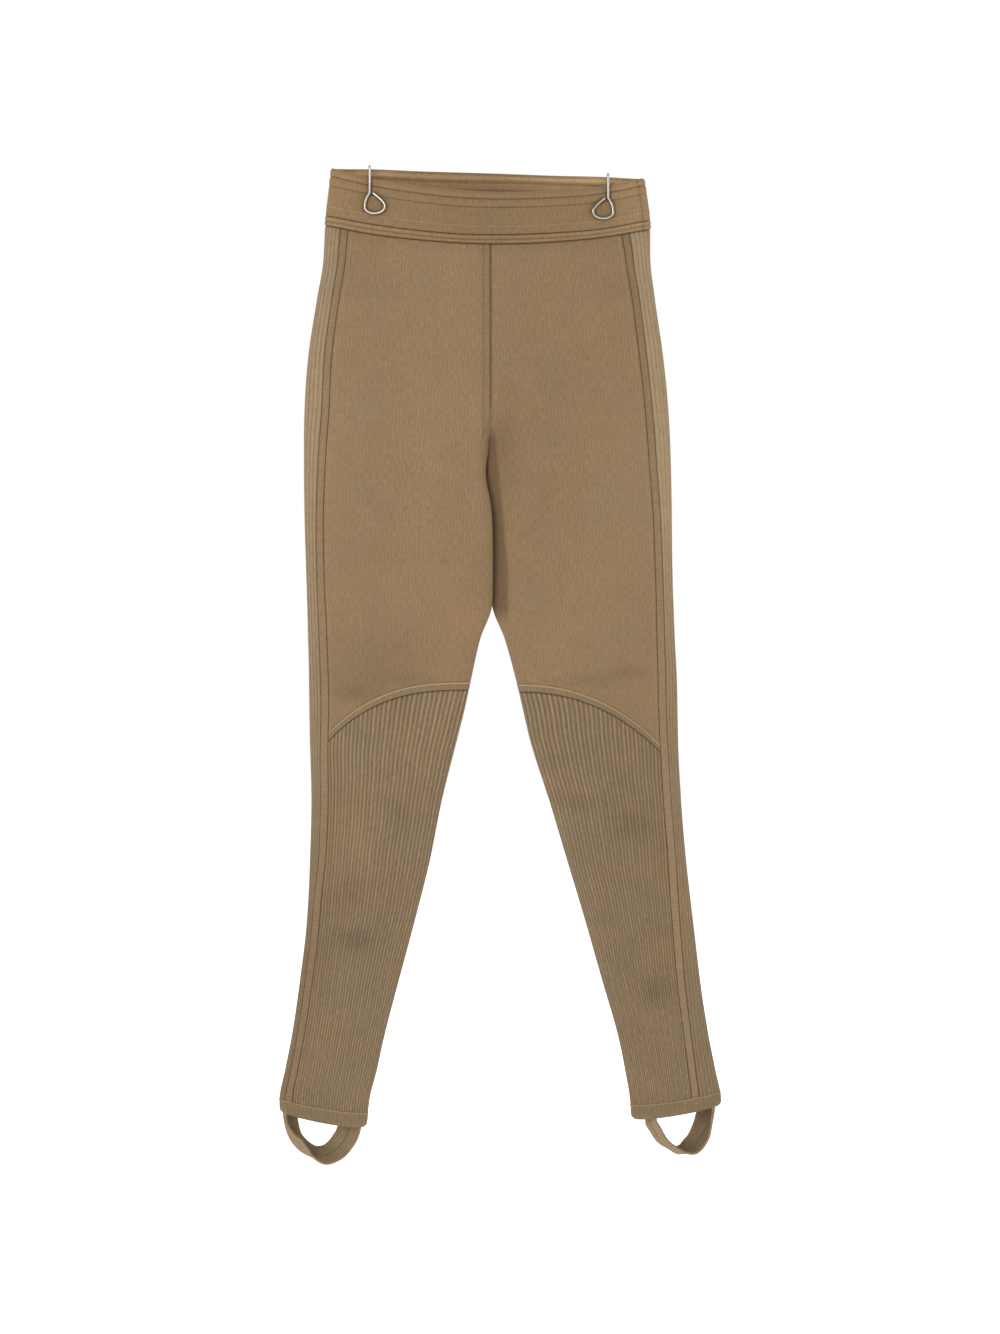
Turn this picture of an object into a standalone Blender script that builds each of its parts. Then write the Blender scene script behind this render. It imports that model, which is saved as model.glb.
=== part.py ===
"""Rib-knit stirrup leggings, hung flat from two wire clips.

Metres, +Z up, the front of the garment faces -Y and the wearer's right leg is at -X, which is
called the left leg here, as seen from the front. The origin is midway between the tops of the
two clips. Every cloth panel is a thin wall on one shared surface, which the tables below give
in millimetres: the outline from the front, how deep the hanging garment is, and the side strips.
"""

import math

import bpy
import numpy as np

MM = 0.001

# Walls and gaps, mm.
SEAM_GAP = 0.3
SECTION_GAP = 0.6
KNIT_WALL = 2.0
STRIP_WALL = 2.2
BAND_WALL = 3.0
BAND_LIFT = 0.8
CUFF_WALL = 2.6
CUFF_LIFT = 0.5
KNEE_WALL = 2.8
CENTRE_WALL = 1.0
KNEE_LIFT = 0.8

# Strips and bands, mm.
SIDE_STRIP_WIDTH = 7.5
CENTRE_STRIP_WIDTH = 7.0
KNEE_BAND_HEIGHT = 8.0
CUFF_HEIGHT = 15.0
BAND_SEAM_INSET = 7.8

# The waist datum hangs this far below the origin, mm. "down" is measured from the datum.
DATUM_DROP = 2.0
CROTCH = 270.0
CROTCH_RISE = 75.0
FOLD_ROUNDNESS = 6.0
BACK_SEAM_INSET = 14.0
HALF_WIDTH = 175.0

# The outline of both halves from the front. "inner" is the centre seam above the crotch and the
# inside of each leg below it.
OUTLINE = (
    ("down", "left_side", "left_inner", "right_inner", "right_side"),
    (-12, -156, 1.8, 2.2, 151),
    (60, -164, 1.8, 2.2, 161),
    (90, -165.5, 1.8, 2.2, 161.5),
    (130, -172, 1.8, 2.2, 166),
    (190, -181, 1.8, 2.2, 174.5),
    (230, -184, 1.8, 2.2, 178.5),
    (270, -185, 1.8, 2.2, 181),
    (300, -185, 2.2, 1.9, 182),
    (350, -184.5, 3.5, 0.8, 183),
    (400, -183, 4.0, 0.5, 183.5),
    (433, -182, 3.4, 2.6, 184.5),
    (470, -181, -9, 16, 186),
    (510, -180, -18, 27, 188),
    (540, -179.5, -24.5, 34, 188.5),
    (570, -179, -32, 41, 189),
    (630, -177.5, -47, 60, 192),
    (690, -179, -59, 78, 197),
    (750, -182, -74, 96, 204),
    (810, -189, -90, 113, 211),
    (870, -198, -105.5, 130, 220.5),
    (900, -204, -112, 136, 226.5),
    (930, -209.5, -119.5, 141, 232),
    (960, -206, -122.5, 143, 228),
)

# Half-depths of the hanging garment, and where each leg's inner fold lies between them.
DEPTH = (
    ("down", "front", "back", "left_fold", "right_fold"),
    (-12, 15, 12, 0, 0),
    (60, 18, 16, 0, 0),
    (150, 21, 22, 0, 0),
    (270, 20, 22, 0, 0),
    (300, 19, 20, -4, 4),
    (360, 18, 18, -7, 7),
    (430, 17, 17, -6, 5),
    (510, 16, 16, -2, 2),
    (690, 15, 15, 0, 0),
    (960, 12, 12, 0, 0),
)

# How far the outer edge of each side strip lies in from the side.
STRIPS = (
    ("down", "left", "right"),
    (55, 16, 22),
    (90, 15, 17.5),
    (130, 15.5, 16),
    (190, 17, 17),
    (230, 18, 16.5),
    (290, 15, 15),
    (360, 12, 11.5),
    (430, 11, 10),
    (540, 12, 11.5),
    (620, 9.5, 10),
    (690, 9, 10),
    (750, 5.5, 13),
    (870, 5.5, 18),
    (945, 6.5, 25),
)

# The waist's edges: how far down each end lies, and how far the cloth sags between them.
WAIST = (
    ("edge", "left", "right", "front_sag", "back_sag"),
    ("top", -1.6, 8.6, 20.5, -2.0),
    ("bottom", 55.6, 59.6, 18.4, 2.0),
)

# The knee seam falls from the inside of the leg to its side, and the hem slants.
LEG_LINES = (
    ("leg", "knee_inside", "knee_fall", "knee_power", "hem_inside", "hem_side"),
    ("left", 512, 75, 2.8, 942, 928),
    ("right", 514, 82, 2.3, 934, 921),
)

# Where the clips grip, and the shape of their wire.
CLIPS = (
    ("clip", "x", "toward_centre", "eye_start"),
    ("left", -119.0, 1.0, 25.4),
    ("right", 119.0, -1.0, 22.7),
)
WIRE = 2.5
WIRE_CLEARANCE = 0.5
EYE_HEIGHT = 22.5
EYE_WIDTH = 27.0
EYE_OPENING_TURN = 0.6
EYE_FULLNESS = 1.2
EYE_OFFSET = 5.2
EYE_OFFSET_AT_TOP = 1.6
BEND_HEIGHT = 0.33
REAR_LEG = 32.0
GRIP = 0.70
GRIP_WIDTH = 38.0
GRIP_FADES_BY = 130.0

# Each stirrup's middle line, with the turn of its tape about that line in degrees and how far
# the tape's edges curl in. The line starts and ends above the hem, where the tape is cut off.
TAPE_WIDTH = 24.0
TAPE_WALL = 2.6
TAPE_GAP = 0.6
THREAD_POINTS = 600
LEFT_STIRRUP = (
    ("x", "down", "turn", "curl"),
    (-201.5, 928, 66, 8),
    (-201, 940, 66, 8),
    (-199.5, 952, 68, 8),
    (-196.5, 962, 78, 9),
    (-190.5, 971, 90, 10),
    (-183, 978.5, 90, 10),
    (-174.5, 983.5, 76, 7),
    (-164, 985, 50, 3),
    (-153, 979.5, 24, 1),
    (-146.5, 972, 10, 0.5),
    (-142, 964.5, 6, 0.5),
    (-139.5, 956.5, 4, 0.5),
    (-138, 946, 4, 0.5),
    (-137, 936, 4, 0.5),
)
RIGHT_STIRRUP = (
    ("x", "down", "turn", "curl"),
    (160, 928, 120, 0.5),
    (160.5, 938, 120, 0.5),
    (161.5, 950, 118, 0.5),
    (166.5, 960, 117, 1),
    (172.5, 970, 114, 1.5),
    (181, 977, 106, 3),
    (191, 980.2, 88, 6),
    (203.5, 975.5, 46, 4),
    (211.5, 965, 40, 6),
    (216.5, 953, 48, 9),
    (219, 941, 54, 10),
    (220, 928, 56, 10),
)

SLOTS = {
    "fine_knit": ((0.315, 0.216, 0.117), 0.9, 0.0),
    "coarse_rib": ((0.262, 0.187, 0.109), 0.92, 0.0),
    "side_rib": ((0.330, 0.235, 0.135), 0.9, 0.0),
    "trim_knit": ((0.300, 0.207, 0.117), 0.9, 0.0),
    "wire": ((0.72, 0.73, 0.74), 0.3, 1.0),
}

# Cells across each panel, and round a cuff and half of a waistband.
FRONT_CELLS = 9
SIDE_CELLS = 6
BACK_CELLS = 9
CUFF_CELLS = 18
BAND_CELLS = 11
TAPE_CELLS = 24
TAPE_CELLS_ACROSS = 4

SIDES = ("left", "right")
TOP, BAND, CROTCH_LINE, KNEE_TOP, KNEE_BOTTOM, CUFF_TOP, CUFF_BOTTOM = range(7)


def column(table, name):
    place = table[0].index(name)
    return np.array([row[place] for row in table[1:]], float)


def row_of(table, name):
    for row in table[1:]:
        if row[0] == name:
            return dict(zip(table[0][1:], row[1:]))
    raise KeyError(name)


def read(table, name, at, key="down"):
    """A column of a table at any depth, as a smooth curve that doesn't overshoot its rows."""
    xs, ys = column(table, key), column(table, name)
    steps = np.diff(xs)
    slopes = np.diff(ys) / steps
    before, after = slopes[:-1], slopes[1:]
    same = before * after > 0
    total = np.where(same, before + after, 1.0)
    middle = np.where(same, 2 * before * after / total, 0.0)
    tangents = np.concatenate([slopes[:1], middle, slopes[-1:]])
    at = np.asarray(at, float)
    i = np.clip(np.searchsorted(xs, at) - 1, 0, len(xs) - 2)
    step = steps[i]
    q = (at - xs[i]) / step
    return (
        ys[i] * (1 + 2 * q) * (1 - q) ** 2
        + step * tangents[i] * q * (1 - q) ** 2
        + ys[i + 1] * q**2 * (3 - 2 * q)
        + step * tangents[i + 1] * q**2 * (q - 1)
    )


def across_of(u):
    """0 at the centre or the inside of the leg, 1 at its side.

    u runs 0 to 1 over the front and 1 to 2 over the back.
    """
    return (1 - np.cos(math.pi * u)) / 2


def u_of(across):
    return np.arccos(np.clip(1 - 2 * across, -1, 1)) / math.pi


def waist_line(edge, side, across, back):
    line = row_of(WAIST, edge)
    place = across if side == "right" else -across
    level = line["left"] + (line["right"] - line["left"]) * (place + 1) / 2
    sag = np.where(back, line["back_sag"], line["front_sag"])
    return level + sag * (1 - place**2)


def lines_down(side, across, back):
    """How far down each of the seven lines across the garment lies at this place."""
    leg = row_of(LEG_LINES, side)
    knee = leg["knee_inside"] + leg["knee_fall"] * across ** leg["knee_power"]
    hem = leg["hem_inside"] + (leg["hem_side"] - leg["hem_inside"]) * across**1.5
    return [
        waist_line("top", side, across, back),
        waist_line("bottom", side, across, back),
        CROTCH + 0 * across,
        knee,
        knee + KNEE_BAND_HEIGHT,
        hem,
        hem + CUFF_HEIGHT,
    ]


def depth_at(side, across, down, back):
    """How far the surface lies behind (+) or in front of (-) the plane of the hanging garment."""
    half = np.where(back, read(DEPTH, "back", down), -read(DEPTH, "front", down))
    rise = np.clip((CROTCH - down) / CROTCH_RISE, 0, 1)
    seam_open = np.sqrt(rise**1.5 * (2.5 - 1.5 * rise))
    side_round = np.sqrt(1 - across**FOLD_ROUNDNESS)
    inner_round = 1 - (1 - across) ** FOLD_ROUNDNESS
    inside = np.sqrt(seam_open**2 + (1 - seam_open**2) * inner_round)
    fold = read(DEPTH, side + "_fold", down) * (1 - across) ** 3
    clip = row_of(CLIPS, side)
    x = x_at(side, across, down)
    fade = np.clip(1 - down / GRIP_FADES_BY, 0, 1)
    grip = 1 - GRIP * np.exp(-(((x - clip["x"]) / GRIP_WIDTH) ** 2)) * fade**0.8
    return fold + half * side_round * inside * grip


def x_at(side, across, down):
    inner = read(OUTLINE, side + "_inner", down)
    return inner + across * (read(OUTLINE, side + "_side", down) - inner)


def surface(side, u, v):
    """The garment's surface in mm. v counts its lines, from the top of the waist to the hem."""
    u, v = np.broadcast_arrays(np.asarray(u, float), np.asarray(v, float))
    across, back = across_of(u), u > 1
    lines = np.stack([line + 0 * u for line in lines_down(side, across, back)])
    upper = np.clip(np.floor(v).astype(int), 0, len(lines) - 2)
    above = np.take_along_axis(lines, upper[None], 0)[0]
    below = np.take_along_axis(lines, upper[None] + 1, 0)[0]
    down = above + (v - upper) * (below - above)
    x, y = x_at(side, across, down), depth_at(side, across, down, back)
    return np.stack([x, y, -down - DATUM_DROP], -1)


def normals(side, u, v):
    """Unit vectors out of the surface, from its slopes along and down it."""
    u, v = np.broadcast_arrays(np.asarray(u, float), np.asarray(v, float))
    near_u, near_v = 0.002, 0.02
    after, before = np.minimum(u + near_u, 2), np.maximum(u - near_u, 0)
    along = surface(side, after, v) - surface(side, before, v)
    after, before = np.minimum(v + near_v, CUFF_BOTTOM), np.maximum(v - near_v, TOP)
    down = surface(side, u, after) - surface(side, u, before)
    out = np.cross(along, down)
    out /= np.linalg.norm(out, axis=-1, keepdims=True)
    return out if side == "left" else -out


def strip_edge(side, v, extra):
    """u of the side strip's outer edge, or of a line this much further in, in mm."""
    place = surface(side, 1.0, v)
    down = -place[..., 2] - DATUM_DROP
    width = np.abs(x_at(side, 1.0, down) - x_at(side, 0.0, down))
    return u_of(1 - (read(STRIPS, side, down) + extra) / width)


def strip_outer(side, v):
    return strip_edge(side, v, 0.0)


def strip_inner(side, v):
    return strip_edge(side, v, SIDE_STRIP_WIDTH)


def back_seam(side, v):
    return 2 - u_of(1 - BACK_SEAM_INSET / HALF_WIDTH) + 0 * v


def inside_edge(side, v):
    return 0 * v


def centre_back(side, v):
    return 2 + 0 * v


def centre_strip_edge(side, v):
    down = -surface(side, 0.0, v)[..., 2] - DATUM_DROP
    width = np.abs(x_at(side, 1.0, down) - x_at(side, 0.0, down))
    return u_of(CENTRE_STRIP_WIDTH / width)


def rows_between(start, end, cells, closer_to_end=1.0):
    """Rows from one line to the next, closer together towards the end when closer_to_end is over 1."""
    share = np.linspace(0, 1, cells + 1)
    return start + (end - start) * (1 - (1 - share) ** closer_to_end)


def join_rows(*parts):
    return np.concatenate([parts[0]] + [part[1:] for part in parts[1:]])


BAND_ROWS = rows_between(TOP, BAND, 2)
HIP_ROWS = rows_between(BAND, CROTCH_LINE, 9, 1.6)
THIGH_ROWS = rows_between(CROTCH_LINE, KNEE_TOP, 9)
KNEE_ROWS = rows_between(KNEE_TOP, KNEE_BOTTOM, 1)
LOWER_ROWS = rows_between(KNEE_BOTTOM, CUFF_TOP, 10)
CUFF_ROWS = rows_between(CUFF_TOP, CUFF_BOTTOM, 1)
LEG_SECTIONS = (
    ("hip", HIP_ROWS),
    ("thigh", THIGH_ROWS),
    ("shin", join_rows(KNEE_ROWS, LOWER_ROWS)),
)


def grid_between(side, start, end, rows, cells):
    """Points and normals of a patch of the surface between two seams."""
    u0, u1 = start(side, rows), end(side, rows)
    share = np.linspace(0, 1, cells + 1)
    u = u0[:, None] + (u1 - u0)[:, None] * share
    v = rows[:, None] + 0 * u
    return surface(side, u, v), normals(side, u, v)


def step_back(points, axis, gap=SEAM_GAP):
    """Moves the two edge lines of a grid in by half a gap."""
    points = np.moveaxis(points, axis, 0)
    for edge, inner in ((0, 1), (-1, -2)):
        toward = points[inner] - points[edge]
        length = np.linalg.norm(toward, axis=-1, keepdims=True)
        points[edge] += toward / length * gap / 2
    return np.moveaxis(points, 0, axis)


def material(slot):
    found = bpy.data.materials.get(slot)
    if found:
        return found
    made = bpy.data.materials.new(slot)
    made.use_nodes = True
    shader = made.node_tree.nodes["Principled BSDF"]
    colour, roughness, metallic = SLOTS[slot]
    shader.inputs["Base Color"].default_value = (*colour, 1)
    shader.inputs["Roughness"].default_value = roughness
    shader.inputs["Metallic"].default_value = metallic
    return made


def add_mesh(name, points, faces, slot):
    mesh = bpy.data.meshes.new(name)
    mesh.from_pydata([tuple(point) for point in points * MM], [], faces)
    mesh.update()
    mesh.materials.append(material(slot))
    made = bpy.data.objects.new(name, mesh)
    bpy.context.scene.collection.objects.link(made)
    mesh.shade_smooth()
    mesh.set_sharp_from_angle(angle=math.radians(40))
    return made


def wall_from(name, outer, inner, slot, ring=False):
    """A closed wall between two grids of points. A ring joins its last column to its first."""
    rows, columns = outer.shape[:2]
    points = np.concatenate([outer.reshape(-1, 3), inner.reshape(-1, 3)])

    def at(row, col, inside):
        return inside * rows * columns + row * columns + col % columns

    faces = []
    last = columns if ring else columns - 1
    for row in range(rows - 1):
        for col in range(last):
            quad = [(row, col), (row + 1, col), (row + 1, col + 1), (row, col + 1)]
            faces.append([at(r, c, 0) for r, c in quad])
            faces.append([at(r, c, 1) for r, c in reversed(quad)])
    for col in range(last):
        faces.append([at(0, col, 0), at(0, col + 1, 0), at(0, col + 1, 1), at(0, col, 1)])
        end = rows - 1
        faces.append([at(end, col + 1, 0), at(end, col, 0), at(end, col, 1), at(end, col + 1, 1)])
    if not ring:
        end = columns - 1
        for row in range(rows - 1):
            faces.append([at(row + 1, 0, 0), at(row, 0, 0), at(row, 0, 1), at(row + 1, 0, 1)])
            faces.append([at(row, end, 0), at(row + 1, end, 0), at(row + 1, end, 1), at(row, end, 1)])
    corners = points[np.array(faces)]
    spokes = np.cross(corners[:, 1] - corners[:, 0], corners[:, 2] - corners[:, 0])
    spokes += np.cross(corners[:, 2] - corners[:, 0], corners[:, 3] - corners[:, 0])
    if (spokes * corners.mean(axis=1)).sum() < 0:
        faces = [face[::-1] for face in faces]
    return add_mesh(name, points, faces, slot)


def add_wall(name, points, outward, slot, wall, lift=0.0, ring=False, gap=SEAM_GAP):
    outer = points + outward * lift
    inner = outer - outward * wall
    for grid in (outer, inner):
        step_back(grid, 0, gap)
        if not ring:
            step_back(grid, 1)
    return wall_from(name, outer, inner, slot, ring)


def add_panel(name, side, edges, rows, cells, slot, wall=KNIT_WALL, lift=0.0, gap=SEAM_GAP):
    points, outward = grid_between(side, *edges, rows, cells)
    return add_wall(name, points, outward, slot, wall, lift, gap=gap)


def add_leg(side):
    """The panels of one leg and its half of the seat, the long ones in sections."""
    front = (inside_edge, strip_inner)
    cells = FRONT_CELLS
    add_panel(f"front_hip_{side}", side, front, HIP_ROWS, cells, "fine_knit")
    add_panel(f"front_thigh_{side}", side, front, THIGH_ROWS, cells, "fine_knit")
    add_panel(f"knee_band_{side}", side, front, KNEE_ROWS, cells, "trim_knit", KNEE_WALL, KNEE_LIFT)
    add_panel(f"front_shin_{side}", side, front, LOWER_ROWS, cells, "coarse_rib")
    long_panels = (
        ("side_strip", (strip_inner, strip_outer), 1, "trim_knit", STRIP_WALL),
        ("side_panel", (strip_outer, back_seam), SIDE_CELLS, "side_rib", KNIT_WALL),
        ("back", (back_seam, centre_back), BACK_CELLS, "fine_knit", KNIT_WALL),
    )
    for panel, edges, cells, slot, wall in long_panels:
        for section, rows in LEG_SECTIONS:
            name = f"{panel}_{section}_{side}"
            add_panel(name, side, edges, rows, cells, slot, wall, gap=SECTION_GAP)


def add_centre_strip():
    """The stitched-down allowance of the centre front seam, lying on the left front panel."""
    rows = HIP_ROWS[:-1]
    points, outward = grid_between("left", inside_edge, centre_strip_edge, rows, 2)
    add_wall("centre_seam_strip", points, outward, "trim_knit", CENTRE_WALL, CENTRE_WALL + SEAM_GAP)


def add_cuff(side):
    """The plain hem band all round the ankle."""
    u = np.linspace(0, 2, CUFF_CELLS + 1)[:-1][None, :]
    v = CUFF_ROWS[:, None] + 0 * u
    u = u + 0 * v
    points, outward = surface(side, u, v), normals(side, u, v)
    add_wall(f"cuff_{side}", points, outward, "trim_knit", CUFF_WALL, CUFF_LIFT, ring=True)


def band_grid(places):
    """Points and normals of the waistband along a list of (side, u); u 0 and 2 are shared by both sides."""
    columns, outs = [], []
    for side, u in places:
        sides = SIDES if u in (0.0, 2.0) else (side,)
        points = np.mean([surface(each, u, BAND_ROWS) for each in sides], axis=0)
        out = np.mean([normals(each, u, BAND_ROWS) for each in sides], axis=0)
        columns.append(points)
        outs.append(out / np.linalg.norm(out, axis=-1, keepdims=True))
    return np.stack(columns, 1), np.stack(outs, 1)


def add_waistband():
    """The front band ends at a seam just in from the right side, and the back band goes round."""
    seam = float(u_of(1 - BAND_SEAM_INSET / HALF_WIDTH))
    left = [("left", float(u)) for u in np.linspace(1, 0, BAND_CELLS + 1)]
    right = [("right", float(u)) for u in np.linspace(0, seam, BAND_CELLS + 1)[1:]]
    add_wall("waistband_front", *band_grid(left + right), "trim_knit", BAND_WALL, BAND_LIFT)
    left = [("left", float(u)) for u in np.linspace(1, 2, BAND_CELLS + 1)]
    right = [("right", float(u)) for u in np.linspace(2, seam, BAND_CELLS + 2)[1:]]
    add_wall("waistband_back", *band_grid(left + right), "trim_knit", BAND_WALL, BAND_LIFT)


def hem_at(side, x):
    """How far down the bottom of the cuff is at this place across the leg."""
    level = row_of(LEG_LINES, side)["hem_side"]
    inner, outer = x_at(side, 0.0, level), x_at(side, 1.0, level)
    across = np.clip((x - inner) / (outer - inner), 0, 1)
    return lines_down(side, across, False)[CUFF_BOTTOM]


def tape_grid(side, table, cells_along, cells_across):
    """Points of a stirrup's middle face and the way it faces, each thread cut off below the hem."""
    knots = np.arange(len(table) - 1, dtype=float)
    named = [("at", *table[0])] + [(knot, *row) for knot, row in zip(knots, table[1:])]
    at = np.linspace(0, knots[-1], THREAD_POINTS)
    x, down, turn, curl = (read(named, name, at, "at") for name in table[0])
    middle = np.stack([x, 0 * x, -down - DATUM_DROP], -1)
    along = np.gradient(middle, axis=0)
    along /= np.linalg.norm(along, axis=-1, keepdims=True)
    turn = np.radians(turn)[:, None]
    width = np.cross(along, (0, 1, 0)) * np.cos(turn) + np.array((0, 1, 0)) * np.sin(turn)
    out = np.cross(along, width)
    threads = []
    for share in np.linspace(-0.5, 0.5, cells_across + 1):
        bend = curl[:, None] * ((2 * share) ** 2 - 0.5)
        thread = middle + width * TAPE_WIDTH * share + out * bend
        hem = hem_at(side, thread[:, 0]) + TAPE_GAP
        below = np.flatnonzero(-thread[:, 2] - DATUM_DROP > hem)
        places = np.linspace(below[0], below[-1], cells_along + 1)
        order = np.arange(len(thread))
        threads.append(np.stack([np.interp(places, order, values) for values in thread.T], -1))
    face = np.stack(threads, 1)
    facing = np.cross(np.gradient(face, axis=0), np.gradient(face, axis=1))
    return face, facing / np.linalg.norm(facing, axis=-1, keepdims=True)


def add_stirrup(side, table):
    """A flat knitted tape in a hanging loop under the cuff."""
    face, facing = tape_grid(side, table, TAPE_CELLS, TAPE_CELLS_ACROSS)
    lift = facing * TAPE_WALL / 2
    wall_from(f"stirrup_{side}", face + lift, face - lift, "trim_knit")


def add_clip(side):
    """One length of spring wire, from behind the band over its top edge to an open eye in front."""
    clip = row_of(CLIPS, side)
    x, toward = clip["x"], clip["toward_centre"]
    place = float((x - x_at(side, 0.0, 0.0)) / (x_at(side, 1.0, 0.0) - x_at(side, 0.0, 0.0)))
    stand_off = BAND_LIFT + WIRE_CLEARANCE + WIRE / 2
    top_back = float(waist_line("top", side, place, True))
    top_front = float(waist_line("top", side, place, False))

    def wire_at(wire_x, down, back):
        inner, outer = x_at(side, 0.0, down), x_at(side, 1.0, down)
        across = np.clip((wire_x - inner) / (outer - inner), 0, 1)
        edge = top_back if back else top_front
        y = depth_at(side, across, max(down, edge), back)
        return (wire_x, float(y) + (stand_off if back else -stand_off), -down - DATUM_DROP)

    route = [wire_at(x, top_back + step, True) for step in np.linspace(REAR_LEG, 0, 8)]
    behind, before = route[-1][1], wire_at(x, top_back, False)[1]
    middle, radius = (behind + before) / 2, (behind - before) / 2
    for turn in np.linspace(0, math.pi, 9)[1:-1]:
        y = middle + radius * math.cos(turn)
        rise = BEND_HEIGHT * radius * math.sin(turn)
        route.append((x, y, -top_back - DATUM_DROP + rise))
    route += [wire_at(x, top_back + step, False) for step in np.linspace(0, clip["eye_start"], 7)]
    turns = np.linspace(EYE_OPENING_TURN, 2 * math.pi - EYE_OPENING_TURN, 24)
    first_drop = EYE_HEIGHT / 2 * (1 - math.cos(EYE_OPENING_TURN))
    for turn in turns[1:]:
        swing = EYE_WIDTH / 2 * math.sin(turn) * math.sin(turn / 2) ** EYE_FULLNESS
        drop = EYE_HEIGHT / 2 * (1 - math.cos(turn)) - first_drop
        lean = min(1.0, 2 * drop / EYE_HEIGHT)
        offset = EYE_OFFSET_AT_TOP + (EYE_OFFSET - EYE_OFFSET_AT_TOP) * lean
        eye_x = x + toward * (offset - swing)
        route.append(wire_at(eye_x, top_back + clip["eye_start"] + drop, False))
    curve = bpy.data.curves.new(f"wire_clip_{side}", "CURVE")
    curve.dimensions = "3D"
    curve.bevel_depth = WIRE / 2 * MM
    curve.bevel_resolution = 1
    curve.use_fill_caps = True
    curve.materials.append(material("wire"))
    spline = curve.splines.new("POLY")
    spline.points.add(len(route) - 1)
    for point, place in zip(spline.points, route):
        point.co = (*(value * MM for value in place), 1)
    made = bpy.data.objects.new(f"wire_clip_{side}", curve)
    bpy.context.scene.collection.objects.link(made)


def main():
    for old in list(bpy.data.objects):
        bpy.data.objects.remove(old, do_unlink=True)
    add_waistband()
    add_centre_strip()
    for side, stirrup in zip(SIDES, (LEFT_STIRRUP, RIGHT_STIRRUP)):
        add_leg(side)
        add_cuff(side)
        add_stirrup(side, stirrup)
        add_clip(side)


main()
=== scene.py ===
"""Rib-knit stirrup leggings hung from two wire clips: the cloth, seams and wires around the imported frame.

Lengths inside this file are millimetres unless a name says otherwise. The tables and the surface
functions are those that the frame was modelled with, so each sheet of cloth lies on its own solid.
"""

import math

import bpy
import numpy as np
from bpy.props import FloatProperty, FloatVectorProperty, IntProperty, PointerProperty
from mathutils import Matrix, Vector


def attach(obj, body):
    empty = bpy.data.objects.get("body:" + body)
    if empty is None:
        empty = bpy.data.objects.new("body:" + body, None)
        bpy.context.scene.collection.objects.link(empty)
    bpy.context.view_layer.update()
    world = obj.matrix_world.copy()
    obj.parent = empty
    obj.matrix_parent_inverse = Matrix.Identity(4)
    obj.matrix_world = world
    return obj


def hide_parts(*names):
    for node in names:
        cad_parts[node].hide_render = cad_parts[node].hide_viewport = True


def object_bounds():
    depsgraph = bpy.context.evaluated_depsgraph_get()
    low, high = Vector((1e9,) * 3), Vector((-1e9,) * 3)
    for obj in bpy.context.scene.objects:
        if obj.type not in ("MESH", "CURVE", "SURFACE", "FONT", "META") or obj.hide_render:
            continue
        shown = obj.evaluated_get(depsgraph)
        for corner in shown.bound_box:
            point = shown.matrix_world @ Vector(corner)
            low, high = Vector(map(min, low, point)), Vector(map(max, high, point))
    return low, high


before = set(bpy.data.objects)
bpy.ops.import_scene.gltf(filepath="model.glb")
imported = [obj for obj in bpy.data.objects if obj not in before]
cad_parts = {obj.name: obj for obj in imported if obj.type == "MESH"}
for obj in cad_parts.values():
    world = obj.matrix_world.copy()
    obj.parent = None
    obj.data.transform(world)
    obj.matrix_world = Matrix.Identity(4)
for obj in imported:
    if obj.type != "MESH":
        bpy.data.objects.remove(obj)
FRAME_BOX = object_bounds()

bl_info = {
    "name": "Rib-knit stirrup leggings",
    "version": (1, 0, 0),
    "blender": (4, 5, 0),
    "location": "View3D > Sidebar > Leggings",
    "description": "Clothes the frame of hanging leggings in knitted panels, bands, seams and wire clips",
    "category": "Object",
}

MM = 0.001

# Points lie a step apart within this reach of a seam, and wider apart elsewhere.
SEAM_REACH = 4.0
SEAM_STEP = 0.6

# The two halves reach this far past the middle where they are sewn together, down to a little
# below the crotch, where the lap fades out.
SEAM_LAP = 0.6
SEAM_LAP_WIDTH = 3.0
SEAM_LAP_END = 30.0
SEAM_LAP_FADE = 20.0

# Below the crotch the seam is drawn aside: how far, how far down, and over what length and width.
CROTCH_PULL = -5.5
CROTCH_PULL_DOWN = 303.0
CROTCH_PULL_LENGTH = 26.0
CROTCH_PULL_WIDTH = 20.0

# The last few millimetres of the hem roll in by this much.
HEM_ROUND = 5.0
HEM_DRAW = 3.4

# The waist datum hangs this far below the origin. "down" is measured from the datum.
DATUM_DROP = 2.0
CROTCH = 270.0
CROTCH_RISE = 75.0
FOLD_ROUNDNESS = 6.0
BACK_SEAM_INSET = 14.0
HALF_WIDTH = 175.0
SIDE_STRIP_WIDTH = 7.5
CENTRE_STRIP_WIDTH = 7.8
KNEE_BAND_HEIGHT = 8.0
CUFF_HEIGHT = 15.0
BAND_SEAM_INSET = 7.8

OUTLINE = (
    ("down", "left_side", "left_inner", "right_inner", "right_side"),
    (-12, -156, 1.8, 2.2, 151),
    (60, -164, 1.8, 2.2, 161),
    (90, -165.5, 1.8, 2.2, 161.5),
    (130, -172, 1.8, 2.2, 166),
    (190, -181, 1.8, 2.2, 174.5),
    (230, -184, 1.8, 2.2, 178.5),
    (270, -185, 1.8, 2.2, 181),
    (300, -185, 2.2, 1.9, 182),
    (350, -184.5, 3.5, 0.8, 183),
    (400, -183, 4.0, 0.5, 183.5),
    (433, -182, 3.4, 2.6, 184.5),
    (470, -181, -9, 16, 186),
    (510, -180, -18, 27, 188),
    (540, -179.5, -24.5, 34, 188.5),
    (570, -179, -32, 41, 189),
    (630, -177.5, -47, 60, 192),
    (690, -179, -59, 78, 197),
    (750, -182, -74, 96, 204),
    (810, -189, -90, 113, 211),
    (870, -198, -105.5, 130, 220.5),
    (900, -204, -112, 136, 226.5),
    (930, -209.5, -119.5, 141, 232),
    (960, -206, -122.5, 143, 228),
)

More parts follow.
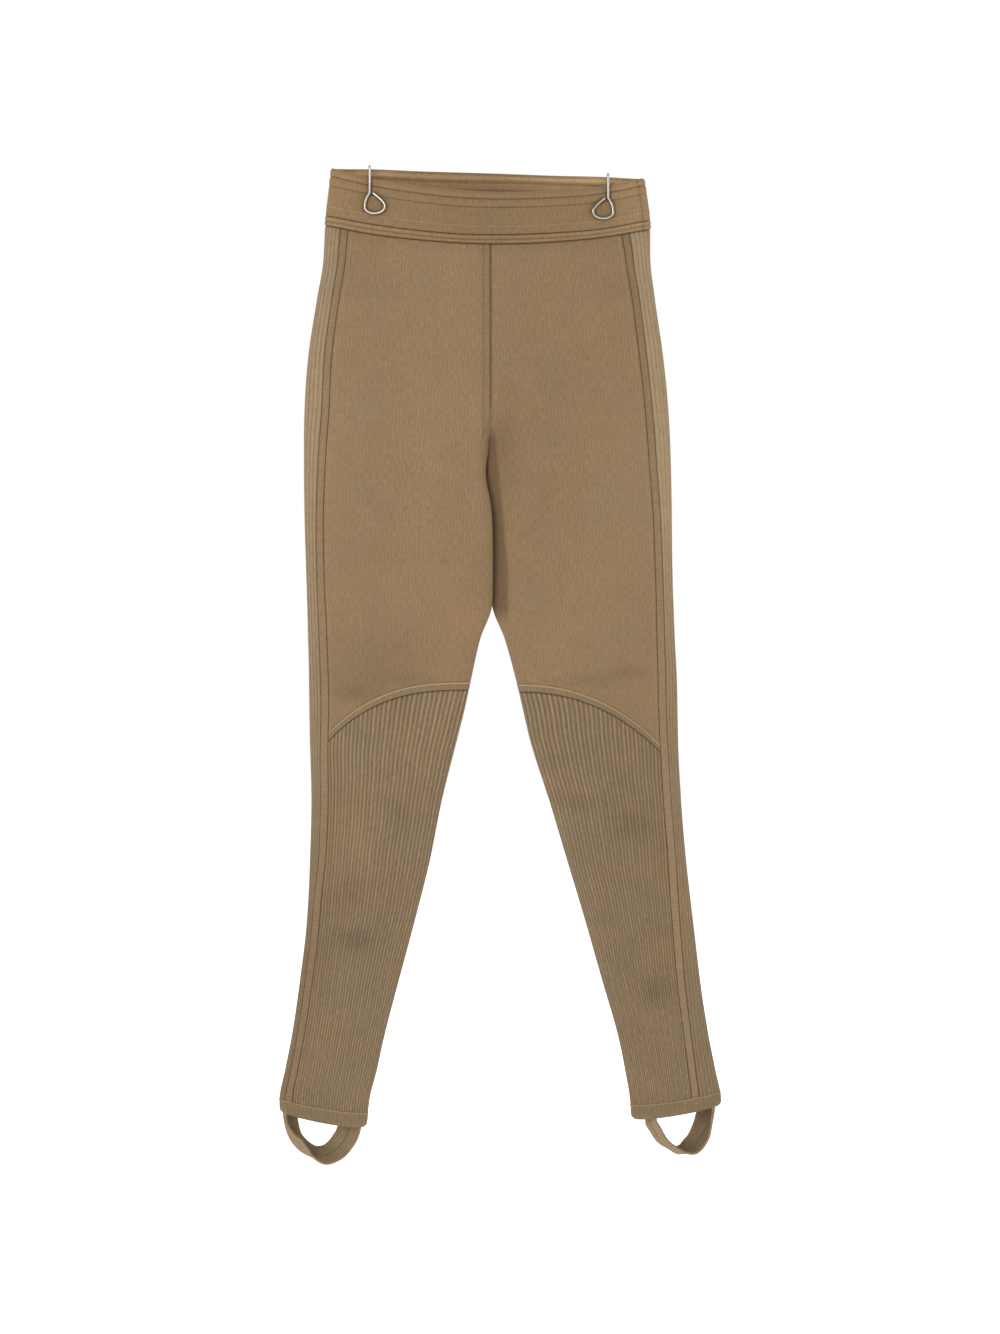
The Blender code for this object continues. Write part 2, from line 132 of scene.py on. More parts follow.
# Half-depths of the hanging garment, and where each leg's inner fold lies between them.
DEPTH = (
    ("down", "front", "back", "left_fold", "right_fold"),
    (-12, 15, 12, 0, 0),
    (60, 18, 16, 0, 0),
    (150, 21, 22, 0, 0),
    (270, 20, 22, 0, 0),
    (300, 19, 20, -4, 4),
    (360, 18, 18, -7, 7),
    (430, 17, 17, -6, 5),
    (510, 16, 16, -2, 2),
    (690, 15, 15, 0, 0),
    (960, 12, 12, 0, 0),
)

# How far the outer edge of each side strip lies in from the side.
STRIPS = (
    ("down", "left", "right"),
    (55, 16, 22),
    (90, 15, 17.5),
    (130, 15.5, 16),
    (190, 17, 17),
    (230, 18, 16.5),
    (290, 15, 15),
    (360, 12, 11.5),
    (430, 11, 10),
    (540, 12, 11.5),
    (620, 9.5, 10),
    (690, 9, 10),
    (750, 5.5, 13),
    (870, 5.5, 18),
    (945, 6.5, 25),
)

# The waist's edges: how far down each end lies, and how far the cloth sags between them.
WAIST = (
    ("edge", "left", "right", "front_sag", "back_sag"),
    ("top", -1.6, 8.6, 20.5, -2.0),
    ("bottom", 55.6, 59.6, 18.4, 2.0),
)

# The knee seam falls from the inside of the leg to its side, and the hem slants.
LEG_LINES = (
    ("leg", "knee_inside", "knee_fall", "knee_power", "hem_inside", "hem_side"),
    ("left", 512, 75, 2.8, 942, 928),
    ("right", 514, 82, 2.3, 934, 921),
)

# Where the clips grip, and the shape of their wire.
CLIPS = (
    ("clip", "x", "toward_centre", "eye_start"),
    ("left", -119.0, 1.0, 25.4),
    ("right", 119.0, -1.0, 22.7),
)
WIRE_CLEARANCE = 0.5
BAND_LIFT = 0.8
EYE_HEIGHT = 22.5
EYE_WIDTH = 27.0
EYE_OPENING_TURN = 0.6
EYE_FULLNESS = 1.2
EYE_OFFSET = 5.2
EYE_OFFSET_AT_TOP = 1.6
EYE_POINTS = 60
WIRE_LEG_POINTS = 12
BEND_POINTS = 19
BEND_HEIGHT = 0.33
REAR_LEG = 32.0
GRIP = 0.70
GRIP_WIDTH = 38.0
GRIP_FADES_BY = 130.0

# Each stirrup's middle line, with the turn of its tape about that line in degrees and how far
# the tape's edges curl in. The line starts and ends above the hem, inside the cuff.
TAPE_WIDTH = 24.0
TAPE_WALL = 2.6
TAPE_TUCK = 4.0
THREAD_POINTS = 600
CUFF_ROOM = 2.6
TUCK_FADE = 9.0
LEFT_STIRRUP = (
    ("x", "down", "turn", "curl"),
    (-201.5, 928, 66, 8),
    (-201, 940, 66, 8),
    (-199.5, 952, 68, 8),
    (-196.5, 962, 78, 9),
    (-190.5, 971, 90, 10),
    (-183, 978.5, 86, 9),
    (-174.5, 983.5, 72, 5),
    (-164, 985, 46, 1.5),
    (-153, 979.5, 24, 1),
    (-146.5, 972, 10, 0.5),
    (-142, 964.5, 6, 0.5),
    (-139.5, 956.5, 4, 0.5),
    (-138, 946, 4, 0.5),
    (-137, 936, 4, 0.5),
)
RIGHT_STIRRUP = (
    ("x", "down", "turn", "curl"),
    (160, 928, 120, 0.5),
    (160.5, 938, 120, 0.5),
    (161.5, 950, 118, 0.5),
    (166.5, 960, 117, 1),
    (172.5, 970, 114, 1.5),
    (181, 977, 106, 3),
    (191, 980.2, 88, 6),
    (203.5, 975.5, 46, 4),
    (211.5, 965, 40, 6),
    (216.5, 953, 48, 9),
    (219, 941, 54, 10),
    (220, 928, 56, 10),
)

# The soft troughs and swells of the hanging cloth: middle, half-length, half-width, the turn of
# the long way from straight down, in degrees, and how far the cloth moves out there.
FOLDS = (
    ("x", "down", "long", "wide", "turn", "out"),
    (-30, 318, 46, 9, 58, -1.3),
    (-62, 352, 52, 12, 64, 0.8),
    (34, 322, 44, 9, -56, -1.2),
    (70, 356, 50, 12, -62, 0.8),
    (-96, 170, 120, 26, 8, 0.9),
    (84, 190, 120, 24, -6, -0.8),
    (-120, 640, 60, 14, 24, -1.2),
    (-104, 700, 64, 13, 30, 1.0),
    (-134, 735, 44, 12, 18, -1.3),
    (-150, 800, 60, 12, 12, 1.0),
    (112, 560, 54, 13, -28, -1.1),
    (136, 610, 52, 12, -24, 1.0),
    (152, 655, 44, 12, -26, -1.2),
    (168, 830, 60, 12, -14, -1.0),
)
FOLD_BOW = 0.12

# Slow waves all over the cloth: height, length across and down for one radian, and start.
SLOW_WAVES = ((0.5, 31, 190, 0.0), (0.4, 47, -83, 1.3))

# The folds and waves fade out toward the waistband and the cuffs.
FOLDS_START, FOLDS_START_FADE = 70, 60
FOLDS_END, FOLDS_END_FADE = 925, 40

# How a rib drifts sideways: share of a rib, length for one radian, and turns for each seed.
WANDER = ((0.16, 37, 1.0), (0.10, 17, 2.3), (0.05, 7.3, 0.0))

# The ribs: points across each, height as a share of the pitch, how far they are sunk, the tone in the grooves
# or on average, and how much lighter the crests are. The darker grooves are painted shade, the lighter crests
# painted light.
SHIN_RIB_CELLS, SHIN_RIB_HEIGHT, SHIN_RIB_SUNK = 7, 0.18, 0.6
SHIN_TONE, SHIN_CONTRAST, SHIN_MEAN_CREST = 0.925, 0.36, 0.375
SHIN_RIB_UNEVEN, SHIN_RIB_TURN, SHIN_RIB_LENGTH = 0.3, 2.4, 29
SIDE_RIB_CELLS, SIDE_RIB_HEIGHT, SIDE_RIB_SUNK = 8, 0.17, 0.8
SIDE_TONE, SIDE_CONTRAST = 0.82, 0.20
CUFF_RIB, CUFF_RIB_HEIGHT, CUFF_RIB_SUNK = 4.3, 0.22, 0.6
CUFF_TONE, CUFF_CONTRAST = 0.90, 0.13
TAPE_RIB, TAPE_RIB_HEIGHT = 3.0, 0.15
TAPE_TONE, TAPE_CONTRAST = 1.06, 0.10

# The shade on the inside of the right thigh, behind the other leg: how far across it reaches and
# where it runs, both at places down the leg, the softness of its edge, and how dark it is.
THIGH_SHADE_REACH = ((252, 402), (5, 19))
THIGH_SHADE_RUN = ((250, 274, 438, 454), (0, 1, 1, 0))
THIGH_SHADE_EDGE = 3.0
THIGH_SHADE = 0.24

# Painted shade on the side's ribs and strips down the leg, where they close up and turn away, and painted
# light where a value is above 1.
SIDE_SHADE = (
    ("down", "left_ribs", "right_ribs", "left_strip", "right_strip"),
    (60, 1.0, 1.04, 0.92, 0.87),
    (300, 1.0, 1.10, 0.92, 0.92),
    (430, 0.98, 1.02, 0.94, 0.95),
    (530, 0.94, 0.93, 0.94, 0.95),
    (730, 0.84, 0.89, 0.89, 0.98),
    (830, 0.80, 0.84, 0.87, 0.96),
    (950, 0.80, 0.82, 0.87, 0.94),
)

# Painted shade in soft hollows, and painted light on swells where the tone is above 0: their middles and
# half-sizes in millimetres.
PAINTED_HOLLOW_SHADE = (
    ("x", "down", "half_width", "half_height", "tone"),
    (-133, 768, 25, 11, -0.12),
    (-135, 720, 18, 15, -0.11),
    (-88, 646, 13, 14, -0.08),
    (145, 656, 18, 15, -0.14),
    (86, 632, 21, 9, -0.10),
    (165, 820, 15, 17, -0.12),
    (151, 715, 10, 11, -0.07),
    (-133, 523, 22, 8, -0.13),
    (-85, 508, 38, 6, -0.05),
    (-108, 492, 55, 42, -0.08),
    (140, 503, 24, 7, -0.10),
    (95, 511, 30, 6, -0.07),
    (60, 230, 50, 120, -0.04),
    (14, 275, 16, 42, -0.13),
    (-10, 300, 11, 52, 0.10),
)

# The waistband's points down and across each half, how its lines waver, and the painted light on the inside
# of its back, where it lies in shade: near the top edge, and from the middle to the right.
BAND_ROWS, BAND_POINTS = 128, 66
BAND_WAVER, BAND_WAVE = 0.006, 23
BAND_INSIDE_TOP, BAND_INSIDE_REACH = 0.80, 22.0
BAND_INSIDE = ((0, 60), (1.0, 1.24))

# The dark line of the centre seam ends above the crotch.
CENTRE_LINE_RUN = ((CROTCH - 30, CROTCH - 10), (1, 0))

# How much painted light there is toward the waistband's ends, and the painted light and shade down the shins,
# where "clear" says how clearly the ribs' painted shade stands out.
BAND_SHADE = (
    ("x", "tone"), (-155, 1.20), (-110, 1.12), (-60, 1.05), (0, 0.99), (60, 1.05), (95, 1.12),
    (125, 1.20), (145, 1.28),
)
SHIN_SHADE = (
    ("down", "tone", "clear"), (500, 1.04, 1.05), (540, 1.03, 1.0), (620, 1.02, 0.84),
    (700, 1.01, 0.78), (860, 0.97, 0.86),
)

# The waistband's lines, from its top edge, 0, to its bottom edge, 1: half-height as a share of
# the band, how far each stands out, and how much darker, or lighter above 0, the yarn looks there.
BAND_LINES = (
    ("name", "at", "half_height", "out", "tone"),
    ("top roll", 0.07, 0.050, 0.60, 0.06),
    ("binding seam", 0.143, 0.011, -0.60, -0.36),
    ("second roll", 0.220, 0.060, 0.45, 0.03),
    ("second seam", 0.303, 0.011, -0.45, -0.28),
    ("raised line", 0.660, 0.016, 0.40, 0.12),
    ("main seam", 0.832, 0.012, -0.80, -0.52),
    ("seam lip", 0.868, 0.026, 0.50, 0.12),
    ("faint line", 0.922, 0.011, -0.35, -0.20),
    ("lower roll", 0.957, 0.026, 0.45, 0.08),
)

# The lines along the pieces' edges and round the wires: the edge that each follows, how far in from it, its
# width, how far it stands out, and how much darker, or lighter above 0, the yarn is drawn there. Besides the
# seams' own dark lines and light stitching, the rows under the band, along the band's top edges and round the
# wires are painted shadow, highlight and shade.
SEAMS = (
    ("piece", "edge", "inset", "width", "out", "tone"),
    # Under the band: the seam's dark line with painted shadow, and a wider band of painted shadow.
    ("under band", "from_top", 0, 1.0, -0.8, -0.45),
    ("under band", "from_top", 0, 9.0, 0.0, -0.06),
    ("above cuff", "to_bottom", 0, 1.2, 0.0, -0.05),
    # Painted highlight along the front band's top edge, and painted shade along the back band's top edge.
    ("waistband_front", "from_top", 0, 1.2, -0.9, 0.30),
    ("waistband_back", "from_top", 0, 1.2, -0.9, -0.25),
    ("waistband", "to_bottom", 0, 0.8, -0.8, -0.32),
    ("waistband", "from_start", 0, 0.8, -0.7, -0.40),
    ("waistband", "to_end", 0, 0.8, -0.7, -0.24),
    # Painted shadow on the band round the clips' wires, where the cloth is also pressed in.
    ("wire", "from_wire", 0, 2.4, -0.7, -0.36),
    ("wire", "from_wire", 0, 7.0, 0.0, -0.07),
    ("front", "to_end", 0, 0.5, -0.4, -0.40),
    ("front", "to_end", 3.0, 1.4, 0.25, 0.05),
    ("front", "to_bottom", 0, 1.2, -0.3, 0.0),
    ("shin", "to_end", 0, 0.5, -0.4, -0.40),
    ("shin", "from_top", 0, 0.9, -0.5, -0.55),
    ("knee band", "from_top", 0.9, 0.85, 0.45, 0.85),
    ("knee band", "to_bottom", 0, 0.7, -0.4, -0.45),
    ("knee band", "to_end", 0, 0.8, -0.5, -0.40),
    ("side strip", "from_start", 0, 0.5, -0.6, -0.60),
    ("side strip", "to_end", 0, 0.5, -0.6, -0.60),
    ("side panel", "from_start", 0, 0.5, -0.4, -0.40),
    ("side panel", "to_end", 0, 0.8, -0.5, -0.40),
    ("back", "from_start", 0, 0.8, -0.5, -0.40),
    ("back", "to_end", 0, 0.8, -0.5, -0.40),
    ("centre seam", "to_end", 0, 0.7, -0.3, -0.30),
    ("centre seam", "from_start", 0, 0.9, -0.5, -0.60),
    ("cuff", "from_top", 0.7, 0.6, 0.35, 0.45),
    ("cuff", "to_bottom", 0, 2.4, -1.0, -0.05),
    ("stirrup", "from_middle", 0, 0.6, -0.4, -0.30),
    ("stirrup", "from_edge", 0, 1.4, -0.4, 0.14),
)

# The patterns in the yarn: what each lies on, its scale and detail, how it is drawn out, and how
# much lighter and darker it makes the yarn.
GRAINS = (
    ("name", "on", "scale", "detail", "stretch", "swing"),
    ("dashes", "stitches", 640, 2.0, (1.0, 0.24, 1.0), 0.32),
    ("streaks", "stitches", 300, 2.0, (1.0, 0.10, 1.0), 0.06),
    ("fibres", "cloth", 1900, 3.0, (1.0, 1.0, 1.0), 0.07),
)

# The knits: their name and the setting of their colour, and where they differ from the fine knit.
KNITS = {
    "fine_knit": ("fine knit", "fine_colour", {}),
    "coarse_rib": ("coarse rib", "rib_colour", {"mottle": 0.20, "tint": 0.045}),
    "side_rib": ("side rib", "side_colour", {}),
    "overlock": ("overlocked strip", "strip_colour", {"ladder": True, "contrast": 0.3}),
    "trim_knit": ("band knit", "trim_colour", {"mottle": 0.06}),
    "cuff_knit": ("cuff knit", "cuff_colour", {"tint": 0.04}),
}

# The stage, in metres: the floor's size and how far below the stirrups it lies, where the camera
# stands, and the soft lights.
FLOOR_SIZE, FLOOR_DROP = 24, 0.12
CAMERA_X, CAMERA_Z = 0.011, -0.499
LIGHTS = (
    ("name", "power", "size", "place"),
    ("key", "key_power", 1.6, (-1.4, -2.0, 0.55)),
    ("fill", "fill_power", 2.2, (3.0, -0.25, -0.1)),
    ("rear", "fill_power", 2.2, (0.6, 2.8, 0.6)),
)

# The garment's seven lines, and about how far each lies from the next.
TOP, BAND, CROTCH_LINE, KNEE_TOP, KNEE_BOTTOM, CUFF_TOP, CUFF_BOTTOM = range(7)
LINE_GAPS = (57, 210, 270, 8, 385, 15)
SIDES = ("left", "right")


def column(table, name):
    place = table[0].index(name)
    return np.array([row[place] for row in table[1:]], float)


def row_of(table, name):
    for row in table[1:]:
        if row[0] == name:
            return dict(zip(table[0][1:], row[1:]))
    raise KeyError(name)


def read(table, name, at, key="down"):
    """A column of a table at any depth, as a smooth curve that doesn't overshoot its rows."""
    xs, ys = column(table, key), column(table, name)
    steps = np.diff(xs)
    slopes = np.diff(ys) / steps
    before, after = slopes[:-1], slopes[1:]
    same = before * after > 0
    total = np.where(same, before + after, 1.0)
    middle = np.where(same, 2 * before * after / total, 0.0)
    tangents = np.concatenate([slopes[:1], middle, slopes[-1:]])
    at = np.asarray(at, float)
    i = np.clip(np.searchsorted(xs, at) - 1, 0, len(xs) - 2)
    step = steps[i]
    q = (at - xs[i]) / step
    return (
        ys[i] * (1 + 2 * q) * (1 - q) ** 2
        + step * tangents[i] * q * (1 - q) ** 2
        + ys[i + 1] * q**2 * (3 - 2 * q)
        + step * tangents[i + 1] * q**2 * (q - 1)
    )


def across_of(u):
    return (1 - np.cos(math.pi * u)) / 2


def u_of(across):
    return np.arccos(np.clip(1 - 2 * across, -1, 1)) / math.pi


def waist_line(edge, side, across, back):
    line = row_of(WAIST, edge)
    place = across if side == "right" else -across
    level = line["left"] + (line["right"] - line["left"]) * (place + 1) / 2
    sag = np.where(back, line["back_sag"], line["front_sag"])
    return level + sag * (1 - place**2)


def lines_down(side, across, back):
    """How far down each of the seven lines across the garment lies at this place."""
    leg = row_of(LEG_LINES, side)
    knee = leg["knee_inside"] + leg["knee_fall"] * across ** leg["knee_power"]
    hem = leg["hem_inside"] + (leg["hem_side"] - leg["hem_inside"]) * across**1.5
    return [
        waist_line("top", side, across, back),
        waist_line("bottom", side, across, back),
        CROTCH + 0 * across,
        knee,
        knee + KNEE_BAND_HEIGHT,
        hem,
        hem + CUFF_HEIGHT,
    ]


def x_at(side, across, down):
    inner = read(OUTLINE, side + "_inner", down)
    return inner + across * (read(OUTLINE, side + "_side", down) - inner)


def across_at(side, x, down):
    """The share of the way from the inside of a leg to its side at which x lies."""
    inner, outer = x_at(side, 0.0, down), x_at(side, 1.0, down)
    return np.clip((x - inner) / (outer - inner), 0, 1)


def down_of(points):
    return -points[..., 2] - DATUM_DROP


def folds_at(x, down):
    """How far the soft folds move the cloth out, away from the plane of the hanging garment."""
    out = 0 * x
    for fold_x, fold_down, long, wide, turn, height in FOLDS[1:]:
        turn = math.radians(turn)
        dx, dz = x - fold_x, down - fold_down
        along = dx * math.sin(turn) + dz * math.cos(turn)
        beside = dx * math.cos(turn) - dz * math.sin(turn)
        bend = beside + FOLD_BOW * along**2 / long
        out = out + height * np.exp(-((along / long) ** 2) - (bend / wide) ** 2)
    for height, wide, long, start in SLOW_WAVES:
        out = out + height * np.sin(x / wide + down / long + start)
    return out


def depth_at(side, across, down, back):
    """How far the surface lies behind (+) or in front of (-) the plane of the hanging garment."""
    half = np.where(back, read(DEPTH, "back", down), -read(DEPTH, "front", down))
    rise = np.clip((CROTCH - down) / CROTCH_RISE, 0, 1)
    seam_open = np.sqrt(rise**1.5 * (2.5 - 1.5 * rise))
    side_round = np.sqrt(np.clip(1 - across**FOLD_ROUNDNESS, 0, 1))
    inner_round = 1 - (1 - across) ** FOLD_ROUNDNESS
    inside = np.sqrt(seam_open**2 + (1 - seam_open**2) * inner_round)
    fold = read(DEPTH, side + "_fold", down) * (1 - across) ** 3
    clip = row_of(CLIPS, side)
    x = x_at(side, across, down)
    fade = np.clip(1 - down / GRIP_FADES_BY, 0, 1)
    grip = 1 - GRIP * np.exp(-(((x - clip["x"]) / GRIP_WIDTH) ** 2)) * fade**0.8
    free = np.clip((down - FOLDS_START) / FOLDS_START_FADE, 0, 1)
    free = free * np.clip((FOLDS_END - down) / FOLDS_END_FADE, 0, 1)
    soft = folds_at(x, down) * free * side_round * inside**2
    return fold + half * side_round * inside * grip + np.where(back, soft, -soft)


def surface(side, u, v):
    """The garment's surface. v counts its lines, from the top of the waist to the hem."""
    u, v = np.broadcast_arrays(np.asarray(u, float), np.asarray(v, float))
    across, back = across_of(u), u > 1
    lines = np.stack([line + 0 * u for line in lines_down(side, across, back)])
    upper = np.clip(np.floor(v).astype(int), 0, len(lines) - 2)
    above = np.take_along_axis(lines, upper[None], 0)[0]
    below = np.take_along_axis(lines, upper[None] + 1, 0)[0]
    down = above + (v - upper) * (below - above)
    x, y = x_at(side, across, down), depth_at(side, across, down, back)
    return np.stack([x, y, -down - DATUM_DROP], -1)


def normals(side, u, v):
    """Unit vectors out of the surface, from its slopes along and down it."""
    u, v = np.broadcast_arrays(np.asarray(u, float), np.asarray(v, float))
    near_u, near_v = 0.002, 0.02
    after, before = np.minimum(u + near_u, 2), np.maximum(u - near_u, 0)
    along = surface(side, after, v) - surface(side, before, v)
    after, before = np.minimum(v + near_v, CUFF_BOTTOM), np.maximum(v - near_v, TOP)
    down = surface(side, u, after) - surface(side, u, before)
    out = np.cross(along, down)
    out /= np.linalg.norm(out, axis=-1, keepdims=True)
    return out if side == "left" else -out


def width_at(side, down):
    return np.abs(x_at(side, 1.0, down) - x_at(side, 0.0, down))


def strip_edge(side, v, extra):
    """u of the side strip's outer edge, or of a line this much further in."""
    down = down_of(surface(side, 1.0, v))
    return u_of(1 - (read(STRIPS, side, down) + extra) / width_at(side, down))


def strip_outer(side, v):
    return strip_edge(side, v, 0.0)


def strip_inner(side, v):
    return strip_edge(side, v, SIDE_STRIP_WIDTH)


def back_seam(side, v):
    return 2 - u_of(1 - BACK_SEAM_INSET / HALF_WIDTH) + 0 * v


def inside_edge(side, v):
    return 0 * v


def centre_back(side, v):
    return 2 + 0 * v


def centre_strip_edge(side, v):
    return u_of(CENTRE_STRIP_WIDTH / width_at(side, down_of(surface(side, 0.0, v))))


def hem_at(side, x):
    """How far down the bottom of the cuff is at this place across the leg."""
    across = across_at(side, x, row_of(LEG_LINES, side)["hem_side"])
    return lines_down(side, across, False)[CUFF_BOTTOM]


def tucked(side, thread, below_hem):
    """How far back each point of a thread lies, once the cuff holds the part that is inside it."""
    down = down_of(thread)
    across = across_at(side, thread[:, 0], down)
    front, back = (depth_at(side, across, down, np.full(len(down), behind)) for behind in (False, True))
    held = np.clip(thread[:, 1], np.minimum(front + CUFF_ROOM, 0), np.maximum(back - CUFF_ROOM, 0))
    free = np.clip(below_hem / TUCK_FADE, 0, 1)
    return held + (thread[:, 1] - held) * free**2 * (3 - 2 * free)


def tape_grid(side, table, cells_along, cells_across):
    """Points of a stirrup's middle face and the way it faces, with both ends tucked into the cuff."""
    knots = np.arange(len(table) - 1, dtype=float)
    named = [("at", *table[0])] + [(knot, *row) for knot, row in zip(knots, table[1:])]
    at = np.linspace(0, knots[-1], THREAD_POINTS)
    x, down, turn, curl = (read(named, name, at, "at") for name in table[0])
    middle = np.stack([x, 0 * x, -down - DATUM_DROP], -1)
    along = np.gradient(middle, axis=0)
    along /= np.linalg.norm(along, axis=-1, keepdims=True)
    turn = np.radians(turn)[:, None]
    width = np.cross(along, (0, 1, 0)) * np.cos(turn) + np.array((0, 1, 0)) * np.sin(turn)
    out = np.cross(along, width)
    threads = []
    for share in np.linspace(-0.5, 0.5, cells_across + 1):
        bend = curl[:, None] * ((2 * share) ** 2 - 0.5)
        thread = middle + width * TAPE_WIDTH * share + out * bend
        below_hem = down_of(thread) - hem_at(side, thread[:, 0])
        thread[:, 1] = tucked(side, thread, below_hem)
        below = np.flatnonzero(below_hem > -TAPE_TUCK)
        places = np.linspace(below[0], below[-1], cells_along + 1)
        order = np.arange(len(thread))
        threads.append(np.stack([np.interp(places, order, values) for values in thread.T], -1))
    face = np.stack(threads, 1)
    facing = np.cross(np.gradient(face, axis=0), np.gradient(face, axis=1))
    return face, facing / np.linalg.norm(facing, axis=-1, keepdims=True)


def wire_route(side, wire):
    """The middle line of a clip's wire, from behind the band over its top edge to the eye in front."""
    clip = row_of(CLIPS, side)
    x, toward = clip["x"], clip["toward_centre"]
    place = float(across_at(side, x, 0.0))
    stand_off = BAND_LIFT + WIRE_CLEARANCE + wire / 2
    top_back = float(waist_line("top", side, place, True))
    top_front = float(waist_line("top", side, place, False))

    def wire_at(wire_x, down, back):
        edge = top_back if back else top_front
        y = depth_at(side, across_at(side, wire_x, down), max(down, edge), back)
        return (wire_x, float(y) + (stand_off if back else -stand_off), -down - DATUM_DROP)

    route = [wire_at(x, top_back + step, True) for step in np.linspace(REAR_LEG, 0, WIRE_LEG_POINTS)]
    behind, before = route[-1][1], wire_at(x, top_back, False)[1]
    middle, radius = (behind + before) / 2, (behind - before) / 2
    for turn in np.linspace(0, math.pi, BEND_POINTS)[1:-1]:
        rise = BEND_HEIGHT * radius * math.sin(turn)
        route.append((x, middle + radius * math.cos(turn), -top_back - DATUM_DROP + rise))
    leg = np.linspace(0, clip["eye_start"], WIRE_LEG_POINTS)
    route += [wire_at(x, top_back + step, False) for step in leg]
    first_drop = EYE_HEIGHT / 2 * (1 - math.cos(EYE_OPENING_TURN))
    for turn in np.linspace(EYE_OPENING_TURN, 2 * math.pi - EYE_OPENING_TURN, EYE_POINTS)[1:]:
        swing = EYE_WIDTH / 2 * math.sin(turn) * math.sin(turn / 2) ** EYE_FULLNESS
        drop = EYE_HEIGHT / 2 * (1 - math.cos(turn)) - first_drop
        lean = min(1.0, 2 * drop / EYE_HEIGHT)
        offset = EYE_OFFSET_AT_TOP + (EYE_OFFSET - EYE_OFFSET_AT_TOP) * lean
        route.append(wire_at(x + toward * (offset - swing), top_back + clip["eye_start"] + drop, False))
    return np.array(route)


def spaced(length, middle_step):
    """Places from 0 to 1 over a length, close together near both ends and wider apart between."""
    near = np.arange(0, SEAM_REACH, SEAM_STEP)
    end = length - SEAM_REACH
    between = np.linspace(SEAM_REACH, end, max(2, round((end - SEAM_REACH) / middle_step)))
    return np.concatenate([near, between, length - near[::-1]]) / length


def rows_down(first, last, step):
    """Rows from one line of the garment to another, close together next to both."""
    even = [line + np.arange(0, gap, step) / gap for line, gap in enumerate(LINE_GAPS)
            if first <= line < last]
    rows = np.concatenate(even + [[last]])
    near = np.arange(0, SEAM_REACH, SEAM_STEP)
    above, below = LINE_GAPS[first], LINE_GAPS[last - 1]
    inside = (rows > first + SEAM_REACH / above) & (rows < last - SEAM_REACH / below)
    return np.concatenate([first + near / above, rows[inside], last - near[::-1] / below])


def lengths_along(points, axis):
    """How far along each row, or down each column, every point lies."""
    steps = np.linalg.norm(np.diff(points, axis=axis), axis=-1)
    start = np.zeros_like(np.take(steps, [0], axis=axis))
    return np.concatenate([start, np.cumsum(steps, axis=axis)], axis=axis)


def ridge(distance, width):
    return np.exp(-((distance / width) ** 2))


class Patch:
    """A sheet's points and the way each faces, with how far each lies from the sheet's edges."""

    def __init__(self, points, outward):
        self.points, self.outward = points, outward
        self.x, self.drop = points[..., 0], down_of(points)
        self.across, self.down = lengths_along(points, 1), lengths_along(points, 0)
        self.from_start, self.to_end = self.across, self.across[:, -1:] - self.across
        self.from_top, self.to_bottom = self.down, self.down[-1:] - self.down
        # tone carries the seams' dark lines, and the painted shade and light of grooves, hollows, shadows and
        # lit edges.
        self.relief, self.tone = 0 * self.across, 1 + 0 * self.across
        # Painted light on the inner face of the wall, where it lies in shade, or None.
        self.inside_painted_light = None

    def sew(self, *pieces):
        """Add the lines that the table of seams gives to these pieces."""
        for piece, edge, inset, width, out, tone in SEAMS[1:]:
            if piece in pieces:
                self.line(getattr(self, edge) - inset, width, out, tone)

    def line(self, distance, width, out, tone):
        """A line along an edge or a seam: how far it stands out, and how its yarn looks."""
        self.relief += out * ridge(distance, width)
        self.tone *= 1 + tone * ridge(distance, width)

    def paint_hollow_shade(self):
        """Paint shade into the soft hollows that cross this patch, and paint light onto the swells."""
        for x, down, half_width, half_height, tone in PAINTED_HOLLOW_SHADE[1:]:
            across, along = (self.x - x) / half_width, (self.drop - down) / half_height
            self.tone *= 1 + tone * np.exp(-(across**2) - along**2)


def leg_patch(side, edges, rows, shares):
    """The patch between two seams of a leg, at these rows and at these shares of the way across."""
    start, end = edges[0](side, rows), edges[1](side, rows)
    u = start[:, None] + (end - start)[:, None] * shares
    v = rows[:, None] + 0 * u
    points = surface(side, u, v)
    pull = CROTCH_PULL * ridge(down_of(points) - CROTCH_PULL_DOWN, CROTCH_PULL_LENGTH)
    points[..., 0] += pull * ridge(points[..., 0], CROTCH_PULL_WIDTH)
    return Patch(points, normals(side, u, v))


def make_grid(name, rows, columns):
    """A flat grid with this many rows and columns of points, and where each point lies in it."""
    bpy.ops.object.select_all(action="DESELECT")
    bpy.ops.mesh.primitive_grid_add(x_subdivisions=columns - 1, y_subdivisions=rows - 1, size=2)
    made = bpy.context.object
    made.name = made.data.name = name
    flat = np.empty(len(made.data.vertices) * 3)
    made.data.vertices.foreach_get("co", flat)
    flat = flat.reshape(-1, 3)
    if len(flat) != rows * columns:
        raise RuntimeError(f"{name}: the grid has {len(flat)} points, and {rows * columns} were wanted")
    col = np.rint((flat[:, 0] + 1) / 2 * (columns - 1)).astype(int)
    row = np.rint((1 - flat[:, 1]) / 2 * (rows - 1)).astype(int)
    return made, row, col


def select_only(made):
    bpy.ops.object.select_all(action="DESELECT")
    made.select_set(True)
    bpy.context.view_layer.objects.active = made


def close_ring(made):
    """Joins the two ends of a sheet that goes all the way round."""
    bpy.ops.object.mode_set(mode="EDIT")
    bpy.ops.mesh.select_all(action="SELECT")
    bpy.ops.mesh.remove_doubles(threshold=1e-6)
    bpy.ops.object.mode_set(mode="OBJECT")


def solidify(made, wall):
    """Gives a sheet its thickness, inwards from the side that shows."""
    modifier = made.modifiers.new("wall", "SOLIDIFY")
    modifier.thickness = wall * MM
    modifier.offset = -1
    bpy.ops.object.modifier_apply(modifier=modifier.name)


